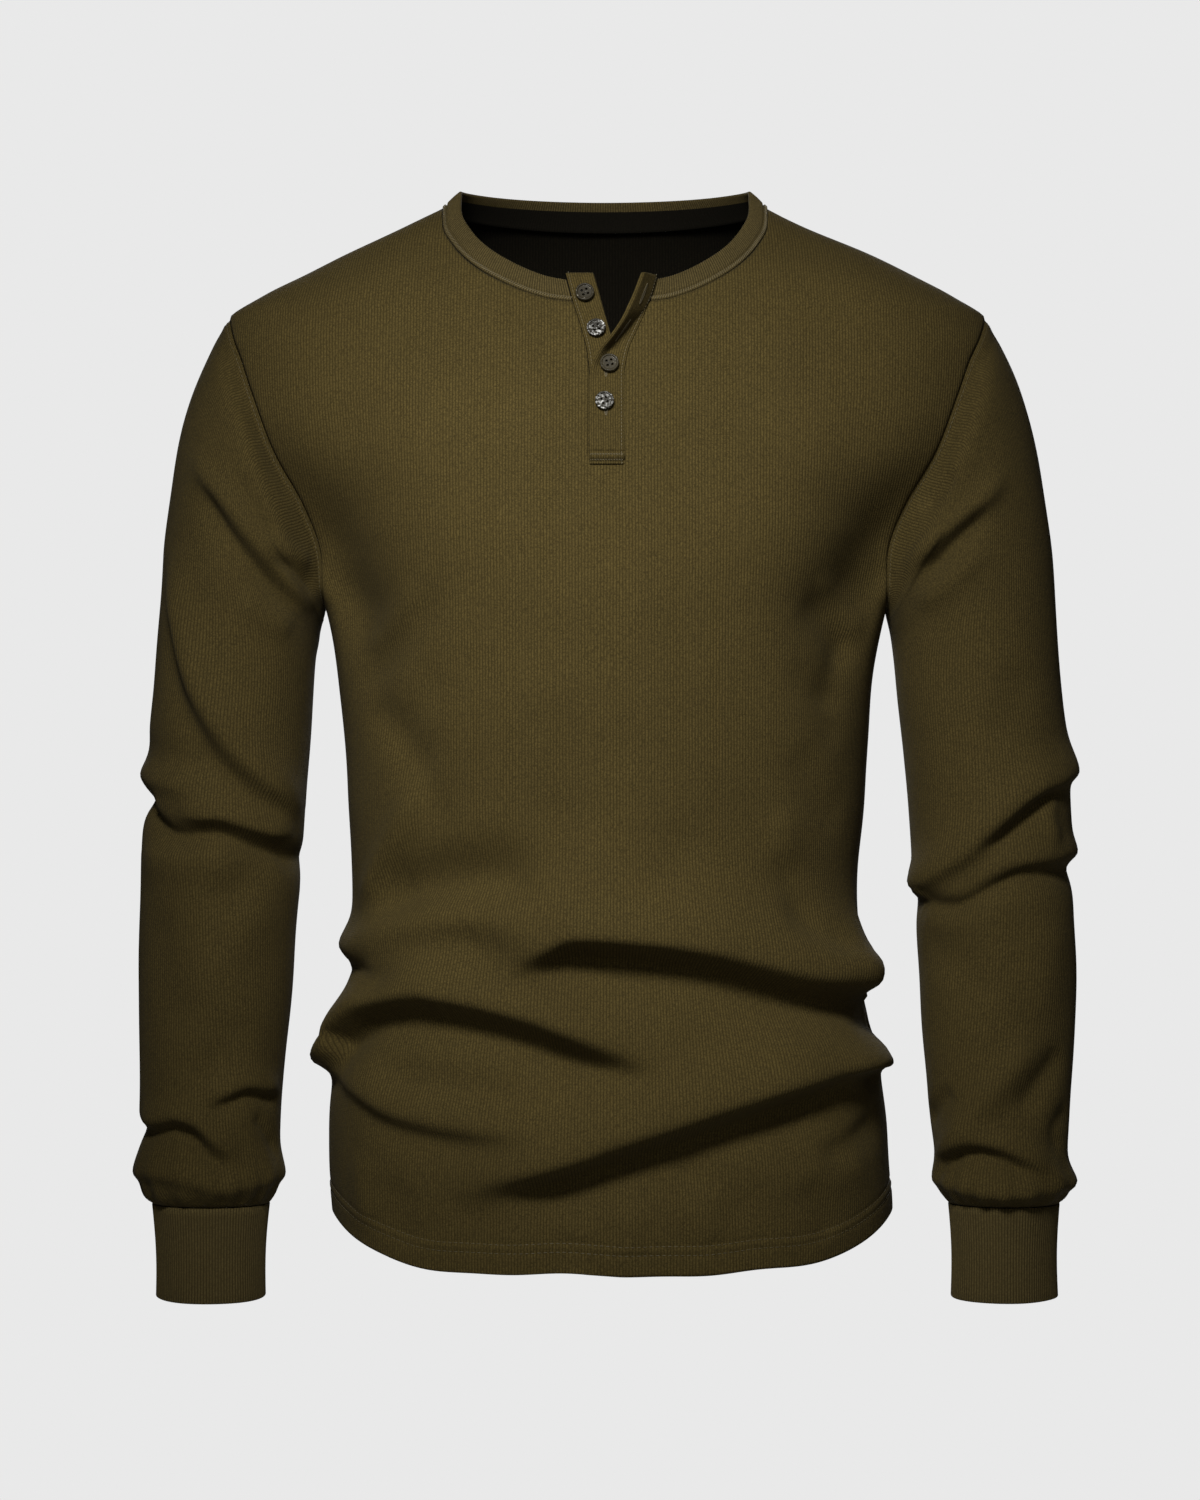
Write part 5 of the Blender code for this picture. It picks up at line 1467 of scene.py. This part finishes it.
buttons, ties = [], []
for number, row in enumerate(buttonSpecs):
    finish = horn("horn" + str(number + 1), row["base"], row["streakAndHighlight"], row["amount"], number * 0.7)
    made, lines = makeButton(row, finish)
    buttons.append(made)
    ties.append(tube(row["name"] + "Thread", lines, 0.13, darkThread))

print("stitches")


def stitchTree():  # small threads set end to end along every edge line of a mesh
    tree = bpy.data.node_groups.new("stitchRow", "GeometryNodeTree")
    face = tree.interface
    face.new_socket("Geometry", in_out="INPUT", socket_type="NodeSocketGeometry")
    for label, kind in (("Spacing", "Float"), ("Length", "Float"), ("Width", "Float"), ("Height", "Float"),
                        ("Slant", "Float"), ("Unevenness", "Float"), ("Seed", "Int"),
                        ("Finish", "Material")):
        face.new_socket(label, in_out="INPUT", socket_type="NodeSocket" + kind)
    face.new_socket("Geometry", in_out="OUTPUT", socket_type="NodeSocketGeometry")

    def node(kind, **settings):
        made = tree.nodes.new(kind)
        for key, value in settings.items():
            setattr(made, key, value)
        return made

    def link(source, target):
        tree.links.new(source, target)

    given = node("NodeGroupInput")
    result = node("NodeGroupOutput")
    curve = node("GeometryNodeMeshToCurve")
    even = node("GeometryNodeResampleCurve", mode="LENGTH")
    facing = node("GeometryNodeInputNamedAttribute", data_type="FLOAT_VECTOR")
    facing.inputs["Name"].default_value = "facing"
    tangent = node("GeometryNodeInputTangent")
    along = node("FunctionNodeAlignRotationToVector", axis="X")
    upright = node("FunctionNodeAlignRotationToVector", axis="Z", pivot_axis="X")
    chance = node("FunctionNodeRandomValue", data_type="FLOAT")
    chance.inputs["Min"].default_value = -1.0
    chance.inputs["Max"].default_value = 1.0
    spread = node("ShaderNodeMath", operation="MULTIPLY")
    slanted = node("ShaderNodeMath", operation="ADD")
    slant = node("ShaderNodeCombineXYZ")
    euler = node("FunctionNodeEulerToRotation")
    turned = node("FunctionNodeRotateRotation", rotation_space="LOCAL")
    size = node("ShaderNodeCombineXYZ")
    bead = node("GeometryNodeMeshUVSphere")
    bead.inputs["Segments"].default_value = 8
    bead.inputs["Rings"].default_value = 5
    bead.inputs["Radius"].default_value = 0.5
    laid = node("GeometryNodeInstanceOnPoints")
    real = node("GeometryNodeRealizeInstances")
    smooth = node("GeometryNodeSetShadeSmooth")
    colour = node("GeometryNodeSetMaterial")

    link(given.outputs["Geometry"], curve.inputs["Mesh"])
    link(curve.outputs["Curve"], even.inputs["Curve"])
    link(given.outputs["Spacing"], even.inputs["Length"])
    link(tangent.outputs["Tangent"], along.inputs["Vector"])
    link(along.outputs["Rotation"], upright.inputs["Rotation"])
    link(facing.outputs["Attribute"], upright.inputs["Vector"])
    link(given.outputs["Seed"], chance.inputs["Seed"])
    link(chance.outputs[1], spread.inputs[0])
    link(given.outputs["Unevenness"], spread.inputs[1])
    link(spread.outputs[0], slanted.inputs[0])
    link(given.outputs["Slant"], slanted.inputs[1])
    link(slanted.outputs[0], slant.inputs["Z"])
    link(slant.outputs[0], euler.inputs["Euler"])
    link(upright.outputs["Rotation"], turned.inputs["Rotation"])
    link(euler.outputs["Rotation"], turned.inputs["Rotate By"])
    link(given.outputs["Length"], size.inputs["X"])
    link(given.outputs["Width"], size.inputs["Y"])
    link(given.outputs["Height"], size.inputs["Z"])
    link(even.outputs["Curve"], laid.inputs["Points"])
    link(bead.outputs["Mesh"], laid.inputs["Instance"])
    link(turned.outputs["Rotation"], laid.inputs["Rotation"])
    link(size.outputs[0], laid.inputs["Scale"])
    link(laid.outputs["Instances"], real.inputs["Geometry"])
    link(real.outputs["Geometry"], smooth.inputs["Geometry"])
    link(smooth.outputs["Geometry"], colour.inputs["Geometry"])
    link(given.outputs["Finish"], colour.inputs["Material"])
    link(colour.outputs["Geometry"], result.inputs["Geometry"])
    return tree


stitchRow = stitchTree()
stitchUnevenness = 0.08  # how far a stitch may turn, in radians


def stitches(name, lines, spacing, length, width, height, seed, slant=0.0, finish=seamThread):
    points, edges, facing = [], [], []
    for line, out in lines:
        start = len(points)
        points += [tuple(p * mm) for p in line]
        facing += [tuple(n) for n in out]
        edges += [(i, i + 1) for i in range(start, len(points) - 1)]
    mesh = bpy.data.meshes.new(name)
    mesh.from_pydata(points, edges, [])
    layer = mesh.attributes.new("facing", "FLOAT_VECTOR", "POINT")
    layer.data.foreach_set("vector", np.array(facing, float).reshape(-1))
    thing = bpy.data.objects.new(name, mesh)
    bpy.context.scene.collection.objects.link(thing)
    made = thing.modifiers.new("stitches", "NODES")
    made.node_group = stitchRow
    values = dict(Spacing=spacing * mm, Length=length * mm, Width=width * mm, Height=height * mm,
                  Slant=slant, Unevenness=stitchUnevenness, Seed=seed, Finish=finish)
    for item in stitchRow.interface.items_tree:
        if item.in_out == "INPUT" and item.name in values:
            made[item.identifier] = values[item.name]
    return applied(thing)


def alongLine(points, normals, run, value, axis=0, lift=0.15):
    line, out = lineAt(points, normals, run, value, axis)
    return line + out * lift, out


stitchPieces = []

# neck: a slanted cover stitch on the band's lower strip, and a fine row under it
stitchAt, bandOut, bandLine, bandRise = neckLine
stitchPieces.append(stitches("neckCoverStitch", [(stitchAt, bandOut)], spacing=1.62, length=2.9, width=0.5,
                             height=0.42, slant=1.0, finish=brightThread, seed=3))
upper = bandLine + bandRise * 2.75 + bandOut * 0.2
stitchPieces.append(stitches("neckUpperStitch", [(upper, bandOut)], spacing=1.62, length=1.25, width=0.3,
                             height=0.3, seed=4))

# hems: twin rows
hemRows = []
for row in hem["rows"]:
    for spots, out in frontCloth:
        hemRows.append(alongLine(spots, out, edgeRun(spots, 0, fromEnd=True), row, lift=0.12))
    spots, out = backCloth
    hemRows.append(alongLine(spots, out, edgeRun(spots, 0, fromEnd=True), row, lift=0.12))
pitch = hem["stitch"] + hem["space"]
stitchPieces.append(stitches("hemStitch", hemRows, spacing=pitch, length=hem["stitch"], width=0.36,
                             height=0.3, seed=5))

# armholes
armRows = []
for spots, out, start in (rightCloth, leftCloth):
    closed = np.concatenate([spots, spots[:, :1]], axis=1)
    facing = np.concatenate([out, out[:, :1]], axis=1)
    run = np.concatenate([start, start[:, :1]], axis=1)
    armRows.append(alongLine(closed, facing, run, 2.4, lift=0.12))
stitchPieces.append(stitches("armholeStitch", armRows, spacing=3.1, length=2.4, width=0.3,
                             height=0.26, seed=6))

# plackets
standSpots, standOut, standRun = standCloth
overSpots, overOut, overRun = overCloth
placketRows = [
    alongLine(standSpots, standOut, standRun, placket["stitchIn"], axis=1, lift=0.1),
    alongLine(overSpots, overOut, overRun, placket["stitchIn"], axis=1, lift=0.1),
]
stitchPieces.append(stitches("placketStitch", placketRows, spacing=2.3, length=2.0, width=0.36,
                             height=0.3, seed=7))

# buttonholes: a stitched oval along the placket's middle, and a row of dark thread along its slit as painted
# shade
buttonhole = dict(drops=(54, 77, 99.5, 124), across=0.52, halfLength=6.4, halfWidth=0.95)
ovals, slitShades = [], []
for drop in buttonhole["drops"]:
    turn = np.linspace(0, 2 * math.pi, 60)
    wide = buttonhole["across"] + buttonhole["halfWidth"] / placket["width"] * np.sin(turn)
    oval = [placketSpot(w, d) for w, d in zip(wide, drop + buttonhole["halfLength"] * np.cos(turn))]
    ovals.append((np.array([spot + out * 0.25 for spot, out in oval]),
                  np.array([out for spot, out in oval])))
    slitDrops = drop + np.linspace(-0.9, 0.9, 20) * buttonhole["halfLength"]
    slitShade = [placketSpot(buttonhole["across"], d) for d in slitDrops]
    slitShades.append((np.array([spot + out * 0.1 for spot, out in slitShade]),
                  np.array([out for spot, out in slitShade])))
stitchPieces.append(stitches("buttonholeStitch", ovals, spacing=0.45, length=1.1, width=0.34, height=0.34,
                             slant=1.5, finish=brightThread, seed=9))
stitchPieces.append(stitches("buttonholeSlitShade", slitShades, spacing=0.8, length=1.3, width=0.5, height=0.3,
                             finish=darkThread, seed=10))
barRows = []
for drop in (placket["barTop"] + 0.9, placket["barFoot"] - 0.9):
    level = -overSpots[:, :, 2]
    row = int(np.argmin(np.abs(level.mean(axis=1) - drop)))
    barRows.append((overSpots[row, 2:-2] + overOut[row, 2:-2] * 0.2, overOut[row, 2:-2]))
stitchPieces.append(stitches("barStitch", barRows, spacing=0.95, length=1.5, width=0.42, height=0.4,
                             slant=1.25, seed=8))

print("floor, light and camera")

floorSize = dict(radius=3.0, height=-1.35)
bm = bmesh.new()
bmesh.ops.create_circle(bm, cap_ends=True, segments=96, radius=floorSize["radius"])
bmesh.ops.translate(bm, verts=bm.verts, vec=(0, 0, floorSize["height"]))
floorMesh = bpy.data.meshes.new("floor")
bm.to_mesh(floorMesh)
bm.free()
floor = bpy.data.objects.new("floor", floorMesh)
bpy.context.scene.collection.objects.link(floor)
floorPaint = Tree("floorPaint")
grain = floorPaint.noise(floorPaint.node("TexCoord").outputs["Object"], 3.0, 2.0)
shade = floorPaint.span(grain, 0.3, 0.7, 0.70, 0.74)
pale = floorPaint.node("CombineColor", {0: shade, 1: shade, 2: shade}).outputs[0]
floorPaint.put(floorPaint.shader.inputs["Base Color"], pale)
floorPaint.put(floorPaint.shader.inputs["Roughness"], 0.9)
paint(floor, floorPaint.material)
floor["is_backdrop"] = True

world = bpy.data.worlds.new("studio")
bpy.context.scene.world = world
world.use_nodes = True
sky = world.node_tree
sky.nodes.clear()
seen = sky.nodes.new("ShaderNodeBackground")
seen.inputs["Color"].default_value = (0.815, 0.815, 0.815, 1)
filled = sky.nodes.new("ShaderNodeBackground")
filled.inputs["Color"].default_value = (1.0, 1.0, 1.0, 1)
filled.inputs["Strength"].default_value = 0.04
path = sky.nodes.new("ShaderNodeLightPath")
either = sky.nodes.new("ShaderNodeMixShader")
output = sky.nodes.new("ShaderNodeOutputWorld")
sky.links.new(path.outputs["Is Camera Ray"], either.inputs[0])
sky.links.new(filled.outputs[0], either.inputs[1])
sky.links.new(seen.outputs[0], either.inputs[2])
sky.links.new(either.outputs[0], output.inputs["Surface"])


# places are in metres, powers in watts
spotLights = dict(
    key=dict(place=(-0.2, -1.25, 0.5), target=(0.0, -0.11, -0.25), degrees=43, softness=0.2, power=104),
)
softLights = dict(
    fill=dict(place=(0.1, -2.9, -0.2), target=(0.0, 0.0, -0.4), size=(2.0, 2.0), power=7),
    back=dict(place=(0.0, 1.9, 0.5), target=(0.0, 0.0, -0.3), size=(1.6, 1.2), power=30),
)


def addLight(name, kind, row):
    data = bpy.data.lights.new(name, kind)
    data.energy = row["power"]
    lamp = bpy.data.objects.new(name, data)
    bpy.context.scene.collection.objects.link(lamp)
    lamp.location = row["place"]
    aim = Vector(row["target"]) - Vector(row["place"])
    lamp.rotation_euler = aim.to_track_quat("-Z", "Y").to_euler()
    return data


for name, row in spotLights.items():
    lamp = addLight(name, "SPOT", row)
    lamp.spot_size = math.radians(row["degrees"])
    lamp.spot_blend = 1
    lamp.shadow_soft_size = row["softness"]
for name, row in softLights.items():
    lamp = addLight(name, "AREA", row)
    lamp.shape = "RECTANGLE"
    lamp.size, lamp.size_y = row["size"]

view = dict(place=(-0.0032, -2.8, -0.336), lens=131.25, sensor=36, farthest=50)
camera = bpy.data.cameras.new("camera")
camera.sensor_fit = "HORIZONTAL"
camera.sensor_width = view["sensor"]
camera.lens = view["lens"]
camera.clip_end = view["farthest"]
camera.dof.use_dof = False
eye = bpy.data.objects.new("camera", camera)
bpy.context.scene.collection.objects.link(eye)
eye.location = view["place"]
eye.rotation_euler = (math.pi / 2, 0, 0)
bpy.context.scene.camera = eye
bpy.context.scene.view_settings.view_transform = "Standard"

print("joining the pieces to the frame")

bodyPieces = {
    "front": frontPanel,
    "back": backPanel,
    "right_sleeve": rightSleevePiece,
    "left_sleeve": leftSleevePiece,
    "right_cuff": rightCuff,
    "left_cuff": leftCuff,
    "neckband": neckbandPiece,
    "placket_under": buttonStand,
    "placket_over": buttonholeSide,
}
for node, piece in bodyPieces.items():
    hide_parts(node)
for row, piece in zip(buttonSpecs, buttons):
    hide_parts(row["node"])
everyPiece = list(bodyPieces.values()) + buttons + ties + stitchPieces
for piece in everyPiece:
    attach(piece, "root")

for side in (cadBox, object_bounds()):
    print("box", [list(corner) for corner in side])
